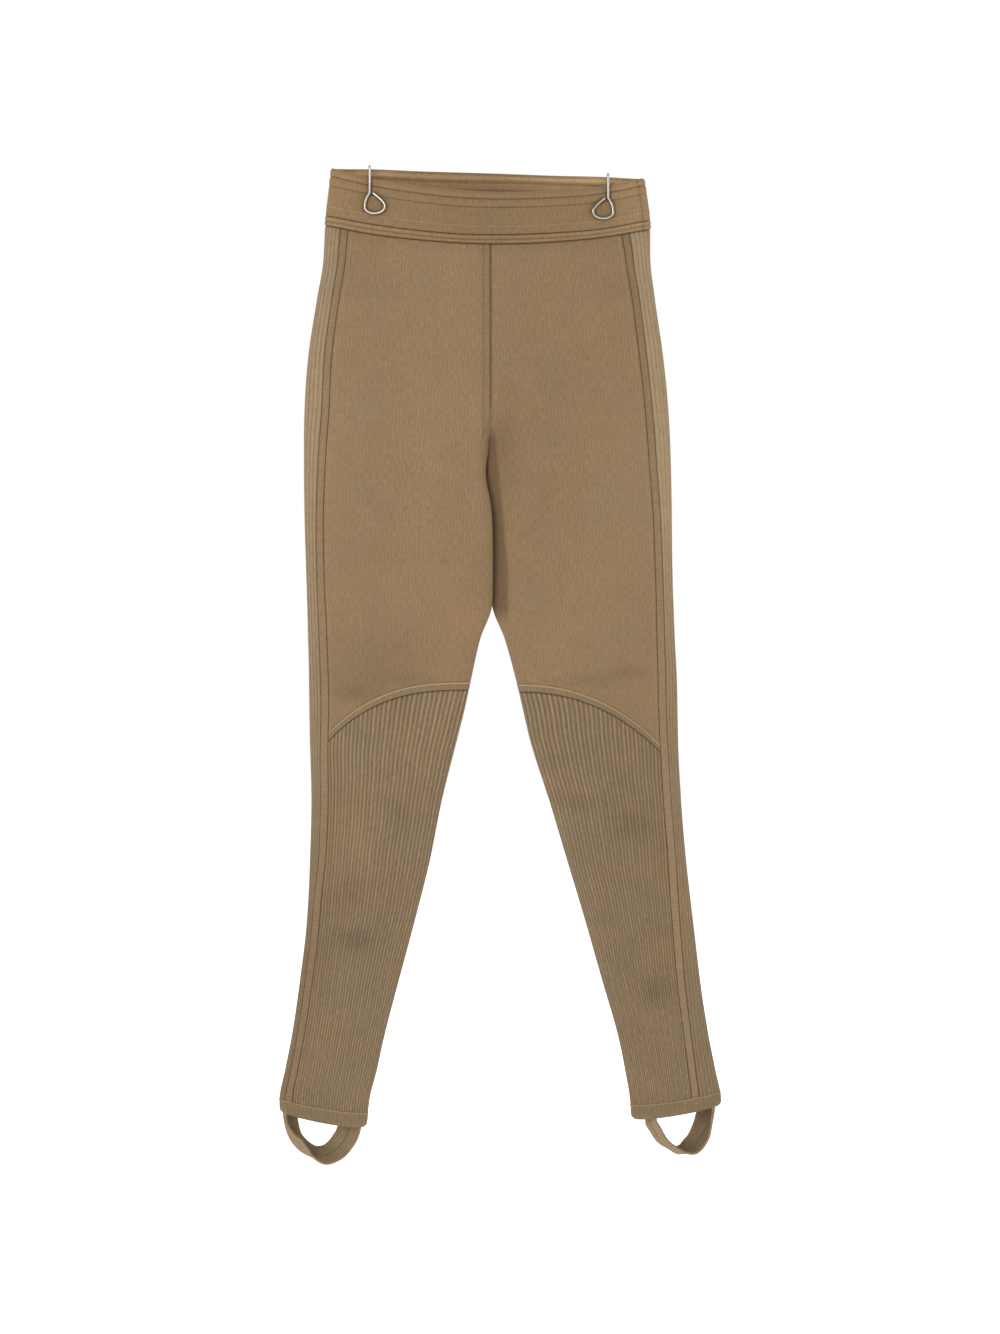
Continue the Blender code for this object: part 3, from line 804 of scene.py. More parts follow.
def add_cloth(name, patch, finish, nodes, wall=None, ring=False):
    """One sheet of cloth on a patch of the surface, raised by its relief, with its wall behind it."""
    rows, columns = patch.points.shape[:2]
    made, row, col = make_grid(name + "_knit", rows, columns)
    shaped = patch.points + patch.outward * patch.relief[..., None]
    mesh = made.data
    mesh.vertices.foreach_set("co", (shaped[row, col] * MM).ravel())
    corner = np.empty(len(mesh.loops), int)
    mesh.loops.foreach_get("vertex_index", corner)
    places = np.stack([patch.across, -patch.points[..., 2]], -1)[row, col][corner] * MM
    mesh.uv_layers.active.data.foreach_set("uv", places.ravel())
    tone = mesh.attributes.new("tone", "FLOAT", "POINT")
    tone.data.foreach_set("value", patch.tone[row, col].astype(np.float32))
    mesh.update()
    facing = np.empty(len(mesh.vertices) * 3)
    mesh.vertices.foreach_get("normal", facing)
    if (facing.reshape(-1, 3) * patch.outward[row, col]).sum() < 0:
        mesh.flip_normals()
    select_only(made)
    if ring:
        close_ring(made)
    outside = len(mesh.vertices)
    solidify(made, wall or bpy.context.scene.leggings_yarn.wall)
    # The inner face takes its painted light.
    if patch.inside_painted_light is not None:
        tones = np.empty(len(mesh.vertices))
        mesh.attributes["tone"].data.foreach_get("value", tones)
        tones[outside:] *= patch.inside_painted_light[row, col]
        mesh.attributes["tone"].data.foreach_set("value", tones)
    bpy.ops.object.shade_smooth_by_angle(angle=math.radians(75))
    mesh.materials.append(finish_of(finish))
    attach(made, "root")
    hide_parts(*nodes)
    steps_across, steps_down = np.diff(patch.points, axis=1)[:-1], np.diff(patch.points, axis=0)[:, :-1]
    area = np.linalg.norm(np.cross(steps_across, steps_down), axis=-1).sum() * MM**2


class Nodes:
    """Builds a material's nodes in a few words."""

    def __init__(self, name, roughness, metallic=0.0):
        self.material = bpy.data.materials.new(name)
        self.material.use_nodes = True
        self.tree = self.material.node_tree
        self.shader = self.tree.nodes["Principled BSDF"]
        self.feed(self.shader, {"Roughness": roughness, "Metallic": metallic})

    def feed(self, node, values):
        """Link or set each socket of a node that has a value here."""
        for socket, value in dict(values).items():
            target = node.inputs[socket]
            if isinstance(value, bpy.types.NodeSocket):
                self.tree.links.new(value, target)
            else:
                target.default_value = value

    def put(self, kind, values=(), **settings):
        node = self.tree.nodes.new(kind)
        for name, value in settings.items():
            setattr(node, name, value)
        self.feed(node, values)
        return node

    def sum(self, operation, *values):
        return self.put("ShaderNodeMath", enumerate(values), operation=operation).outputs[0]

    def product(self, *factors):
        total = factors[0]
        for factor in factors[1:]:
            total = self.sum("MULTIPLY", total, factor)
        return total

    def wave(self, kind, turns):
        """The sine or cosine of a number of whole turns."""
        return self.sum(kind, self.sum("MULTIPLY", turns, 2 * math.pi))

    def between(self, value, low, high):
        """A value from 0 to 1, spread from low to high."""
        values = {"Value": value, "To Min": low, "To Max": high}
        return self.put("ShaderNodeMapRange", values, clamp=True).outputs[0]

    def around(self, value, swing):
        return self.between(value, 1 - swing, 1 + swing)

    def noise(self, vector, scale, detail=2.0, stretch=(1, 1, 1)):
        mapped = self.put("ShaderNodeMapping", {"Vector": vector, "Scale": stretch}).outputs[0]
        values = {"Vector": mapped, "Scale": scale, "Detail": detail, "Roughness": 0.55}
        return self.put("ShaderNodeTexNoise", values).outputs["Fac"]

    def blend(self, factor, first, second):
        """One colour turning into another as the factor goes from 0 to 1."""
        values = {"Factor": factor, "A": (*first, 1), "B": (*second, 1)}
        return self.put("ShaderNodeMix", values, data_type="RGBA").outputs["Result"]

    def bump(self, height, strength, distance):
        values = {"Height": height, "Strength": strength, "Distance": distance * MM}
        self.feed(self.shader, {"Normal": self.put("ShaderNodeBump", values).outputs[0]})


def knit(name, colour, ladder=False, contrast=0.22, mottle=0.1, tint=0.03):
    """Knitted yarn: columns of small V stitches, uneven yarn, soft mottling, and the seams' dark lines with
    the painted shade and light that each piece's tone attribute carries.

    A ladder has overlocked rungs across the strip in place of the V stitches. contrast is how much
    darker the yarn is between its stitches, mottle how much lighter or darker it is in soft
    patches, and tint how much warmer or cooler.
    """
    yarn = bpy.context.scene.leggings_yarn
    cloth = Nodes(name, 0.92)
    sheen = {"Sheen Weight": 0.08, "Sheen Roughness": 0.55, "Sheen Tint": (1.0, 0.95, 0.82, 1)}
    cloth.feed(cloth.shader, {**sheen, "Specular IOR Level": 0.18})
    places = {
        "stitches": cloth.put("ShaderNodeUVMap", uv_map="UVMap").outputs[0],
        "cloth": cloth.put("ShaderNodeTexCoord").outputs["Object"],
    }
    parts = cloth.put("ShaderNodeSeparateXYZ", {"Vector": places["stitches"]})
    across, down = parts.outputs[0], parts.outputs[1]
    drift = cloth.product(cloth.sum("SUBTRACT", cloth.noise(places["stitches"], 90), 0.5), 1.1)
    if ladder:
        rung = cloth.sum("MULTIPLY_ADD", down, 1 / MM / yarn.rung_pitch, drift)
        height = cloth.sum("MULTIPLY_ADD", cloth.wave("SINE", rung), 0.5, 0.5)
    else:
        in_wale = cloth.sum("FRACT", cloth.sum("MULTIPLY_ADD", across, 1 / MM / yarn.wale, drift))
        middle = cloth.sum("ABSOLUTE", cloth.sum("SUBTRACT", in_wale, 0.5))
        leg = cloth.sum("ABSOLUTE", cloth.wave("SINE", middle))
        slant = cloth.sum("MULTIPLY_ADD", middle, 1.6, cloth.product(down, 1 / MM / yarn.course))
        height = cloth.product(leg, cloth.sum("MULTIPLY_ADD", cloth.wave("COSINE", slant), 0.3, 0.7))
    shade = cloth.between(height, 1 - contrast, 1 + contrast * 0.35)
    grains = {}
    for grain, on, scale, detail, stretch, swing in GRAINS[1:]:
        grains[grain] = cloth.noise(places[on], scale, detail, stretch)
        shade = cloth.product(shade, cloth.around(grains[grain], swing))
    lines = cloth.wave("SINE", cloth.sum("MULTIPLY_ADD", across, 1 / MM / (2 * yarn.wale), drift))
    patches = cloth.noise(places["cloth"], 11, 3.0, (1.0, 1.0, 0.55))
    blotches = cloth.noise(places["cloth"], 45)
    # The tone attribute: the seams' dark lines with painted shade and light; below 1 the colour also turns
    # toward the seam and shade colour.
    tone = cloth.put("ShaderNodeAttribute", attribute_name="tone", attribute_type="GEOMETRY").outputs["Fac"]
    shade = cloth.product(shade, cloth.sum("MULTIPLY_ADD", lines, 0.035, 1.0), cloth.around(patches, mottle),
                          cloth.around(blotches, mottle * 0.5), tone)
    mixed = cloth.blend(cloth.sum("SUBTRACT", 1.0, tone), colour, yarn.seam_and_shade_colour)
    lit = cloth.put("ShaderNodeVectorMath", {0: mixed, "Scale": shade}, operation="SCALE").outputs[0]
    cool, warm = (1 - tint * 2, 1.0, 1 + tint * 2), (1 + tint * 2, 1.0, 1 - tint * 2)
    hue = cloth.blend(cloth.noise(places["cloth"], 19), cool, warm)
    tinted = cloth.put("ShaderNodeVectorMath", {0: lit, 1: hue}, operation="MULTIPLY").outputs[0]
    cloth.feed(cloth.shader, {"Base Color": tinted})
    thick = cloth.sum("MULTIPLY_ADD", grains["fibres"], 0.25, height)
    cloth.bump(cloth.sum("MULTIPLY_ADD", grains["dashes"], 0.5, thick), 0.75, 0.35)
    return cloth.material


def steel(name, colour, roughness):
    """Bright plated wire, with faint drawing lines and specks."""
    metal = Nodes(name, roughness, 1.0)
    place = metal.put("ShaderNodeTexCoord").outputs["Object"]
    grain, stain = metal.noise(place, 900, 3.0, (1, 1, 0.2)), metal.noise(place, 130)
    dull, bright = [0.78 * value for value in colour], [min(1.12 * value, 1) for value in colour]
    rough = metal.between(grain, roughness * 0.7, roughness * 1.4)
    metal.feed(metal.shader, {"Base Color": metal.blend(stain, dull, bright), "Roughness": rough})
    metal.bump(grain, 0.2, 0.02)
    return metal.material


FINISHES = {}


def finish_of(kind):
    """The finish of this kind, made once."""
    if kind not in FINISHES:
        if kind == "wire":
            wire = bpy.context.scene.leggings_wire
            FINISHES[kind] = steel("bright wire", wire.colour, wire.roughness)
        else:
            name, colour, differences = KNITS[kind]
            FINISHES[kind] = knit(name, getattr(bpy.context.scene.leggings_yarn, colour), **differences)
    return FINISHES[kind]


def colour_property(name, description, default):
    return FloatVectorProperty(name=name, description=description, default=default, size=3,
                               subtype="COLOR", min=0, max=1)


def length_property(name, description, default):
    return FloatProperty(name=name, description=description, default=default, min=0.01, unit="NONE")


class YarnSettings(bpy.types.PropertyGroup):
    """The yarn's colours and the size of its stitches."""

    fine_colour: colour_property("Fine knit", "Colour of the thighs, seat and back", (0.3075, 0.2006, 0.1064))
    rib_colour: colour_property("Coarse rib", "Colour of the ribbed shins", (0.302, 0.210, 0.122))
    side_colour: colour_property("Side rib", "Colour of the ribbed sides", (0.373, 0.267, 0.154))
    strip_colour: colour_property("Overlocked strip", "Colour of the side strips", (0.326, 0.217, 0.120))
    trim_colour: colour_property("Bands", "Colour of the waistband and knee bands", (0.272, 0.175, 0.0875))
    cuff_colour: colour_property("Cuffs", "Colour of the cuffs and stirrups", (0.242, 0.170, 0.094))
    # The colour of the seams' dark lines, and of the painted shade in grooves, hollows and shadows.
    seam_and_shade_colour: colour_property("Seam shade", "Colour down in the seams and grooves", (0.110, 0.055, 0.020))
    wale: length_property("Stitch width, mm", "Width of one stitch of the fine knit", 1.7)
    course: length_property("Stitch height, mm", "Height of one stitch of the fine knit", 1.25)
    rung_pitch: length_property("Rung pitch, mm", "Distance between the rungs of the strips", 1.9)
    ribs: IntProperty(name="Shin ribs", description="Ribs across each shin", default=31, min=8, max=60)
    side_ribs: IntProperty(name="Side ribs", description="Ribs across each side panel",
                           default=9, min=4, max=30)
    wall: length_property("Cloth thickness, mm", "Thickness of a single layer of the knit", 1.4)


class WireSettings(bpy.types.PropertyGroup):
    """The two spring-wire clips."""

    thickness: length_property("Wire, mm", "Thickness of the wire", 2.5)
    colour: colour_property("Plating", "Colour of the plating", (0.58, 0.56, 0.50))
    roughness: FloatProperty(name="Roughness", description="Roughness of the plating", default=0.24,
                             min=0, max=1, subtype="FACTOR")


class StudioSettings(bpy.types.PropertyGroup):
    """The floor, the lights and the camera."""

    key_power: FloatProperty(name="Key light", description="Power of the large soft light", default=25.0,
                             min=0, unit="POWER")
    fill_power: FloatProperty(name="Fill light", description="Power of the second soft light", default=22.0,
                              min=0, unit="POWER")
    ambience: FloatProperty(name="Ambience", description="Strength of the light from all round",
                            default=0.47, min=0)
    distance: FloatProperty(name="Camera distance", description="How far the camera stands in front",
                            default=3.2, min=0.5, unit="LENGTH")
    field: FloatProperty(name="Field", description="Height that the camera takes in at the garment",
                         default=1.334, min=0.1, unit="LENGTH")


def sections(piece, side):
    """The nodes of a piece that the frame has in three parts."""
    return [f"{piece}_{section}_{side}" for section in ("hip", "thigh", "shin")]


def wander(along, seed):
    """A slow uneven sideways drift, in shares of a rib."""
    return sum(share * np.sin(along / length + turns * seed) for share, length, turns in WANDER)


def close_the_seam(patch, side, from_inside):
    """Above the crotch the two halves are sewn together, so each edge reaches past the middle."""
    lap = SEAM_LAP if side == "left" else -SEAM_LAP
    above_crotch = np.clip((CROTCH + SEAM_LAP_END - patch.drop) / SEAM_LAP_FADE, 0, 1)
    patch.points[..., 0] += lap * ridge(from_inside, SEAM_LAP_WIDTH) * above_crotch


class LEGGINGS_OT_add_waistband(bpy.types.Operator):
    """Add the doubled waistband, front and back, with its rolls and seams"""

    bl_idname = "leggings.add_waistband"
    bl_label = "Waistband"

    def execute(self, context):
        seam = float(u_of(1 - BAND_SEAM_INSET / HALF_WIDTH))
        rows = np.linspace(TOP, BAND, BAND_ROWS)
        for name, middle in (("waistband_front", 0), ("waistband_back", 2)):
            halves = []
            for side, start, end in (("left", 1, middle), ("right", middle, seam)):
                u, v = np.broadcast_arrays(np.linspace(start, end, BAND_POINTS), rows[:, None])
                halves.append(np.stack([surface(side, u, v), normals(side, u, v)]))
            left, right = halves
            joint = left[:, :, -1:] + right[:, :, :1]
            joint[0] /= 2
            joint[1] /= np.linalg.norm(joint[1], axis=-1, keepdims=True)
            patch = Patch(*np.concatenate([left[:, :, :-1], joint, right[:, :, 1:]], 2))
            self.shape(context, patch, rows, name)
            add_cloth(name, patch, "trim_knit", [name], 2.6)
        return {"FINISHED"}

    def shape(self, context, patch, rows, name):
        at = (rows - TOP)[:, None] / (BAND - TOP) + BAND_WAVER * np.sin(patch.x / BAND_WAVE)
        patch.relief += BAND_LIFT
        for _, place, half_height, out, tone in BAND_LINES[1:]:
            patch.line(at - place, half_height, out, tone)
        # The band's edge seams, with painted highlight along the front's top edge and painted shade along the
        # back's.
        patch.sew("waistband", name)
        # Painted light toward the ends of the band.
        patch.tone *= read(BAND_SHADE, "tone", patch.x, "x")
        behind = name == "waistband_back"
        if behind:
            # Painted light on the inside of the back band, where it lies in shade.
            top_light = 1 + BAND_INSIDE_TOP * ridge(patch.from_top, BAND_INSIDE_REACH)
            patch.inside_painted_light = top_light * np.interp(patch.x, *BAND_INSIDE)
        # Painted shadow on the band round each clip's wire.
        for side in SIDES:
            wire = wire_route(side, context.scene.leggings_wire.thickness)
            wire = wire[(wire[:, 1] > 0) == behind]
            beside = np.stack([patch.x, patch.points[..., 2]], -1)[..., None, :] - wire[:, (0, 2)]
            patch.from_wire = np.linalg.norm(beside, axis=-1).min(-1)
            patch.sew("wire")


class LEGGINGS_OT_add_fronts(bpy.types.Operator):
    """Add the fine-knit fronts, from the waistband to the knee seam"""

    bl_idname = "leggings.add_fronts"
    bl_label = "Fronts"

    def execute(self, context):
        rows = rows_down(BAND, KNEE_TOP, 3.0)
        for side in SIDES:
            patch = leg_patch(side, (inside_edge, strip_inner), rows, spaced(165, 2.4))
            close_the_seam(patch, side, patch.from_start)
            # The seam lines, and the painted shadow under the waistband.
            patch.sew("front", "under band")
            # Painted shade in the hollows, and painted light on the swells.
            patch.paint_hollow_shade()
            if side == "right":
                self.shade_inner_thigh(patch)
                line = ridge(patch.from_start, 1.1) * np.interp(patch.drop, *CENTRE_LINE_RUN)
                patch.relief -= 0.5 * line
                patch.tone *= 1 - 0.55 * line
            patch.across = patch.across[:, -1:] - patch.across
            add_cloth(f"front_{side}", patch, "fine_knit",
                      [f"front_hip_{side}", f"front_thigh_{side}"])
        return {"FINISHED"}

    def shade_inner_thigh(self, patch):
        """The inside of this leg turns away behind the other one, down to where the legs part."""
        reach = np.interp(patch.drop, *THIGH_SHADE_REACH)
        inside = np.clip((reach - patch.x) / THIGH_SHADE_EDGE + 0.5, 0, 1)
        patch.tone *= 1 - THIGH_SHADE * inside * np.interp(patch.drop, *THIGH_SHADE_RUN)


class LEGGINGS_OT_add_shins(bpy.types.Operator):
    """Add the coarsely ribbed shins, from the knee band to the cuff"""

    bl_idname = "leggings.add_shins"
    bl_label = "Ribbed shins"

    def execute(self, context):
        ribs = context.scene.leggings_yarn.ribs
        rows = rows_down(KNEE_BOTTOM, CUFF_TOP, 3.2)
        shares = np.linspace(0, 1, ribs * SHIN_RIB_CELLS + 1)
        for side in SIDES:
            patch = leg_patch(side, (inside_edge, strip_inner), rows, shares)
            length = patch.across[:, -1:]
            phase = patch.across / length * ribs + wander(patch.drop, 1.0 if side == "left" else 2.0)
            crest = np.sin(math.pi * phase) ** 2
            turn = SHIN_RIB_TURN * np.floor(phase) + patch.drop / SHIN_RIB_LENGTH
            uneven = 1 + SHIN_RIB_UNEVEN * np.sin(turn)
            height = SHIN_RIB_HEIGHT * length / ribs
            inset = 1 - ridge(np.minimum(patch.from_start, patch.to_end), 2.0)
            patch.relief += (crest - SHIN_RIB_SUNK) * height * inset * uneven
            # Painted shade in the rib grooves and painted light on the crests, then painted light and shade
            # down the shin and in its hollows.
            clear = SHIN_CONTRAST * read(SHIN_SHADE, "clear", patch.drop)
            patch.tone *= SHIN_TONE + clear * (crest**2 * uneven - SHIN_MEAN_CREST)
            patch.tone *= read(SHIN_SHADE, "tone", patch.drop)
            patch.paint_hollow_shade()
            patch.sew("shin", "above cuff")
            add_cloth(f"lower_front_{side}", patch, "coarse_rib", [f"front_shin_{side}"])
        return {"FINISHED"}


class LEGGINGS_OT_add_knee_bands(bpy.types.Operator):
    """Add the narrow raised bands over the curved knee seams"""

    bl_idname = "leggings.add_knee_bands"
    bl_label = "Knee bands"

    def execute(self, context):
        rows = np.linspace(KNEE_TOP, KNEE_BOTTOM, 22)
        swell = np.sin(math.pi * (rows - KNEE_TOP) / (KNEE_BOTTOM - KNEE_TOP))[:, None]
        for side in SIDES:
            patch = leg_patch(side, (inside_edge, strip_inner), rows, spaced(150, 1.6))
            inside = 1 - ridge(patch.from_start, 5.0)
            patch.relief += 0.1 + 0.45 * np.clip(swell, 0, 1) ** 0.6 * inside
            patch.tone *= 1.08
            patch.sew("knee band")
            add_cloth(f"knee_band_{side}", patch, "cuff_knit", [f"knee_band_{side}"], 2.0)
        return {"FINISHED"}


class LEGGINGS_OT_add_side_strips(bpy.types.Operator):
    """Add the narrow overlocked strips down the legs, between front and side"""

    bl_idname = "leggings.add_side_strips"
    bl_label = "Side strips"

    def execute(self, context):
        rows = rows_down(BAND, CUFF_TOP, 2.2)
        for side in SIDES:
            patch = leg_patch(side, (strip_inner, strip_outer), rows, np.linspace(0, 1, 17))
            patch.relief += 0.30
            # Painted shade down the strip, and painted shadow under the waistband.
            patch.tone *= read(SIDE_SHADE, side + "_strip", patch.drop)
            patch.sew("side strip", "under band", "above cuff")
            add_cloth(f"side_strip_{side}", patch, "overlock", sections("side_strip", side))
        return {"FINISHED"}


class LEGGINGS_OT_add_side_panels(bpy.types.Operator):
    """Add the widely ribbed side panels, round the side of each leg to its seam on the back"""

    bl_idname = "leggings.add_side_panels"
    bl_label = "Side panels"

    def execute(self, context):
        ribs = context.scene.leggings_yarn.side_ribs
        rows = rows_down(BAND, CUFF_TOP, 3.6)
        even = np.linspace(0, 1, 81)
        for side in SIDES:
            across = leg_patch(side, (strip_outer, back_seam), rows, even).across.mean(0)
            shares = np.interp(np.linspace(0, 1, ribs * SIDE_RIB_CELLS + 1), across / across[-1], even)
            patch = leg_patch(side, (strip_outer, back_seam), rows, shares)
            length = patch.across[:, -1:]
            phase = patch.across / length * ribs + 0.5 * wander(patch.drop, 3.0)
            crest = np.abs(np.sin(math.pi * phase)) ** 0.7
            patch.relief += (crest - SIDE_RIB_SUNK) * SIDE_RIB_HEIGHT * length / ribs
            # Painted shade in the rib grooves, painted light and shade down the leg, and painted shadow under
            # the waistband.
            patch.tone *= SIDE_TONE + SIDE_CONTRAST * crest
            patch.tone *= read(SIDE_SHADE, side + "_ribs", patch.drop)
            patch.sew("side panel", "under band", "above cuff")
            add_cloth(f"side_panel_{side}", patch, "side_rib", sections("side_panel", side))
        return {"FINISHED"}


class LEGGINGS_OT_add_backs(bpy.types.Operator):
    """Add the plain fine-knit backs, one piece for each half of the seat and its leg"""

    bl_idname = "leggings.add_backs"
    bl_label = "Backs"

    def execute(self, context):
        rows = rows_down(BAND, CUFF_TOP, 3.6)
        for side in SIDES:
            patch = leg_patch(side, (back_seam, centre_back), rows, spaced(160, 2.6))
            close_the_seam(patch, side, patch.to_end)
            # The seam lines, and the painted shadow under the waistband.
            patch.sew("back", "under band", "above cuff")
            add_cloth(f"back_{side}", patch, "fine_knit", sections("back", side))
        return {"FINISHED"}


class LEGGINGS_OT_add_centre_seam(bpy.types.Operator):
    """Add the stitched-down strip beside the centre front seam"""

    bl_idname = "leggings.add_centre_seam"
    bl_label = "Centre seam"

    def execute(self, context):
        rows = BAND + (CROTCH_LINE - BAND) * np.linspace(0, 0.995, 118)
        patch = leg_patch("left", (inside_edge, centre_strip_edge), rows, np.linspace(0, 1, 15))
        patch.relief += 0.25 + 0.35 * np.clip(patch.to_bottom / 30, 0, 1)
        patch.tone *= 0.89
        # The seam lines, and the painted shadow under the waistband.
        patch.sew("centre seam", "under band")
        add_cloth("centre_seam", patch, "overlock", ["centre_seam_strip"], 0.7)
        return {"FINISHED"}


class LEGGINGS_OT_add_cuffs(bpy.types.Operator):
    """Add the plain hem bands round the ankles"""

    bl_idname = "leggings.add_cuffs"
    bl_label = "Cuffs"

    def execute(self, context):
        rows = np.linspace(CUFF_TOP, CUFF_BOTTOM, 34)
        for side in SIDES:
            patch = leg_patch(side, (inside_edge, centre_back), rows, np.linspace(0, 1, 181))
            patch.outward[:, -1] = patch.outward[:, 0]
            self.round_off(patch)
            turn = math.pi * patch.across / CUFF_RIB + 0.4 * np.sin(patch.across / 11)
            rib = np.abs(np.sin(turn)) ** 0.8
            patch.relief += 0.15 + CUFF_RIB_HEIGHT * (rib - CUFF_RIB_SUNK)
            # Painted shade in the rib grooves.
            patch.tone *= CUFF_TONE + CUFF_CONTRAST * rib
            patch.sew("cuff")
            patch.relief[:, -1] = patch.relief[:, 0]
            patch.tone[:, -1] = patch.tone[:, 0]
            add_cloth(f"cuff_{side}", patch, "cuff_knit", [f"cuff_{side}"], 2.2, ring=True)
        return {"FINISHED"}

    def round_off(self, patch):
        """Draws the lowest few millimetres in toward the middle of the ring."""
        middle = (patch.points.min(1, keepdims=True) + patch.points.max(1, keepdims=True)) / 2
        turn = np.clip(1 - patch.to_bottom / HEM_ROUND, 0, 1)
        inward = (1 - np.sqrt(1 - 0.98 * turn**2)) * HEM_DRAW
        half = np.abs(patch.points[..., 0].max(1, keepdims=True) - middle[..., 0])
        share = 1 - inward / half
        out = patch.points[..., :2] - middle[..., :2]
        patch.points[..., :2] = middle[..., :2] + out * share[..., None]


class LEGGINGS_OT_add_stirrups(bpy.types.Operator):
    """Add the knitted stirrup tapes, hanging in a loop below each cuff"""

    bl_idname = "leggings.add_stirrups"
    bl_label = "Stirrups"

    def execute(self, context):
        for side, table in zip(SIDES, (LEFT_STIRRUP, RIGHT_STIRRUP)):
            patch = Patch(*tape_grid(side, table, 110, 40))
            patch.from_middle = np.abs(np.linspace(-0.5, 0.5, 41)[None, :]) * TAPE_WIDTH
            patch.from_edge = TAPE_WIDTH / 2 - patch.from_middle
            rib = np.abs(np.sin(math.pi * patch.from_middle / TAPE_RIB))
            patch.relief += TAPE_WALL / 2 - 0.2 + TAPE_RIB_HEIGHT * rib
            # Painted shade in the rib grooves, and painted light on the tape's inner face.
            patch.tone *= TAPE_TONE + TAPE_CONTRAST * rib
            patch.inside_painted_light = 1.12 + 0 * patch.tone
            patch.sew("stirrup")
            add_cloth(f"stirrup_{side}", patch, "cuff_knit", [f"stirrup_{side}"], 2.1)
        return {"FINISHED"}


class LEGGINGS_OT_add_clips(bpy.types.Operator):
    """Add the two spring-wire clips, each one length of wire with an open eye"""

    bl_idname = "leggings.add_clips"
    bl_label = "Wire clips"

    def execute(self, context):
        for side in SIDES:
            self.add_wire(context, side)
        return {"FINISHED"}

    def add_wire(self, context, side):
        wire = context.scene.leggings_wire.thickness
        route = wire_route(side, wire)
        curve = bpy.data.curves.new(f"clip_{side}", "CURVE")
        curve.dimensions = "3D"
        curve.bevel_depth = wire / 2 * MM
        curve.bevel_resolution = 4
        curve.use_fill_caps = True
        spline = curve.splines.new("POLY")
        spline.points.add(len(route) - 1)
        for point, spot in zip(spline.points, route):
            point.co = (*(value * MM for value in spot), 1)
        made = bpy.data.objects.new(f"clip_{side}", curve)
        context.scene.collection.objects.link(made)
        select_only(made)
        bpy.ops.object.convert(target="MESH")
        bpy.ops.object.shade_smooth_by_angle(angle=math.radians(50))
        made.data.materials.clear()
        made.data.materials.append(finish_of("wire"))
        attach(made, "root")
        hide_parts(f"wire_clip_{side}")


class LEGGINGS_OT_set_stage(bpy.types.Operator):
    """Set the pale floor, the soft lights and the camera"""

    bl_idname = "leggings.set_stage"
    bl_label = "Stage"

    def execute(self, context):
        studio = context.scene.leggings_studio
        low, high = FRAME_BOX
        bpy.ops.object.select_all(action="DESELECT")
        bpy.ops.mesh.primitive_plane_add(size=FLOOR_SIZE, location=(0, 0, low.z - FLOOR_DROP))
        floor = context.object
        floor.name = "floor"
        bpy.ops.object.transform_apply(location=True)
        pale = Nodes("pale floor", 0.9)
        place = pale.put("ShaderNodeTexCoord").outputs["Object"]
        tint = pale.between(pale.noise(place, 3.0), 0.94, 0.97)
        colour = pale.put("ShaderNodeCombineColor", {"Red": tint, "Green": tint, "Blue": tint}).outputs[0]
        glow = {"Emission Color": (1, 1, 1, 1), "Emission Strength": 0.7}
        pale.feed(pale.shader, {**glow, "Base Color": colour})
        floor.data.materials.append(pale.material)
        self.light_world(context, studio.ambience)
        for name, power, size, place in LIGHTS[1:]:
            self.add_light(context, name, getattr(studio, power), size, place, (low + high) / 2)
        self.add_camera(context, studio)
        context.scene.view_settings.view_transform = "Standard"
        return {"FINISHED"}

    def light_world(self, context, ambience):
        world = bpy.data.worlds.new("white room")
        world.use_nodes = True
        tree = world.node_tree
        room, backdrop = tree.nodes["Background"], tree.nodes.new("ShaderNodeBackground")
        room.inputs["Strength"].default_value = ambience
        for light in (room, backdrop):
            light.inputs["Color"].default_value = (1, 1, 1, 1)
        path = tree.nodes.new("ShaderNodeLightPath")
        mix = tree.nodes.new("ShaderNodeMixShader")
        tree.links.new(path.outputs["Is Camera Ray"], mix.inputs[0])
        tree.links.new(room.outputs[0], mix.inputs[1])
        tree.links.new(backdrop.outputs[0], mix.inputs[2])
        tree.links.new(mix.outputs[0], tree.nodes["World Output"].inputs["Surface"])
        context.scene.world = world

    def add_light(self, context, name, power, size, place, target):
        light = bpy.data.lights.new(name, "AREA")
        light.energy, light.size = power, size
        made = bpy.data.objects.new(name, light)
        made.location = place
        made.rotation_euler = (target - Vector(place)).to_track_quat("-Z", "Y").to_euler()
        context.scene.collection.objects.link(made)

    def add_camera(self, context, studio):
        camera = bpy.data.cameras.new("camera")
        camera.sensor_width = 36
        camera.lens = camera.sensor_width * studio.distance / studio.field
        made = bpy.data.objects.new("camera", camera)
        made.location = (CAMERA_X, -studio.distance, CAMERA_Z)
        made.rotation_euler = (math.pi / 2, 0, 0)
        context.scene.collection.objects.link(made)
        context.scene.camera = made


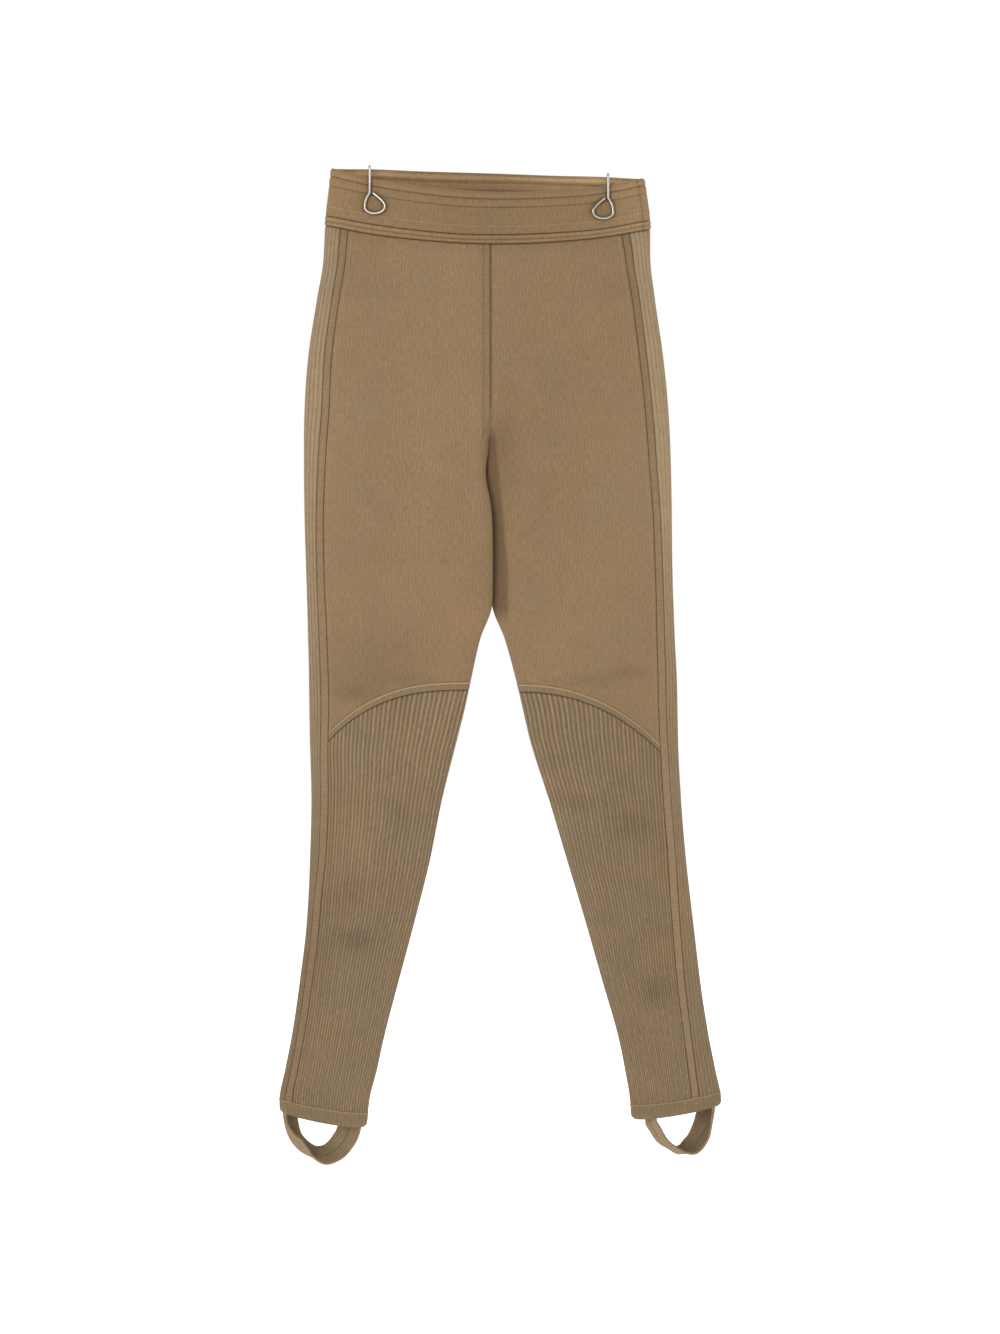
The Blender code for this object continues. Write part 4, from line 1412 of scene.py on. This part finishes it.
class LEGGINGS_PT_sidebar(bpy.types.Panel):
    """The pieces of the leggings, in the order in which they are made"""

    bl_label = "Leggings"
    bl_idname = "LEGGINGS_PT_sidebar"
    bl_space_type = "VIEW_3D"
    bl_region_type = "UI"
    bl_category = "Leggings"

    def draw(self, context):
        for group in ("leggings_yarn", "leggings_wire", "leggings_studio"):
            settings = getattr(context.scene, group)
            box = self.layout.box()
            for name in settings.__annotations__:
                box.prop(settings, name)
        for operator in OPERATORS:
            self.layout.operator(operator.bl_idname)


OPERATORS = (
    LEGGINGS_OT_add_waistband,
    LEGGINGS_OT_add_fronts,
    LEGGINGS_OT_add_shins,
    LEGGINGS_OT_add_knee_bands,
    LEGGINGS_OT_add_side_strips,
    LEGGINGS_OT_add_side_panels,
    LEGGINGS_OT_add_backs,
    LEGGINGS_OT_add_centre_seam,
    LEGGINGS_OT_add_cuffs,
    LEGGINGS_OT_add_stirrups,
    LEGGINGS_OT_add_clips,
    LEGGINGS_OT_set_stage,
)
SETTINGS = (
    ("leggings_yarn", YarnSettings),
    ("leggings_wire", WireSettings),
    ("leggings_studio", StudioSettings),
)


def register():
    for name, group in SETTINGS:
        bpy.utils.register_class(group)
        setattr(bpy.types.Scene, name, PointerProperty(type=group))
    for operator in OPERATORS:
        bpy.utils.register_class(operator)
    bpy.utils.register_class(LEGGINGS_PT_sidebar)


def unregister():
    bpy.utils.unregister_class(LEGGINGS_PT_sidebar)
    for operator in reversed(OPERATORS):
        bpy.utils.unregister_class(operator)
    for name, group in reversed(SETTINGS):
        delattr(bpy.types.Scene, name)
        bpy.utils.unregister_class(group)


def main():
    register()
    bpy.ops.leggings.add_waistband()
    bpy.ops.leggings.add_fronts()
    bpy.ops.leggings.add_shins()
    bpy.ops.leggings.add_knee_bands()
    bpy.ops.leggings.add_side_strips()
    bpy.ops.leggings.add_side_panels()
    bpy.ops.leggings.add_backs()
    bpy.ops.leggings.add_centre_seam()
    bpy.ops.leggings.add_cuffs()
    bpy.ops.leggings.add_stirrups()
    bpy.ops.leggings.add_clips()
    bpy.ops.leggings.set_stage()


if __name__ == "__main__":
    main()
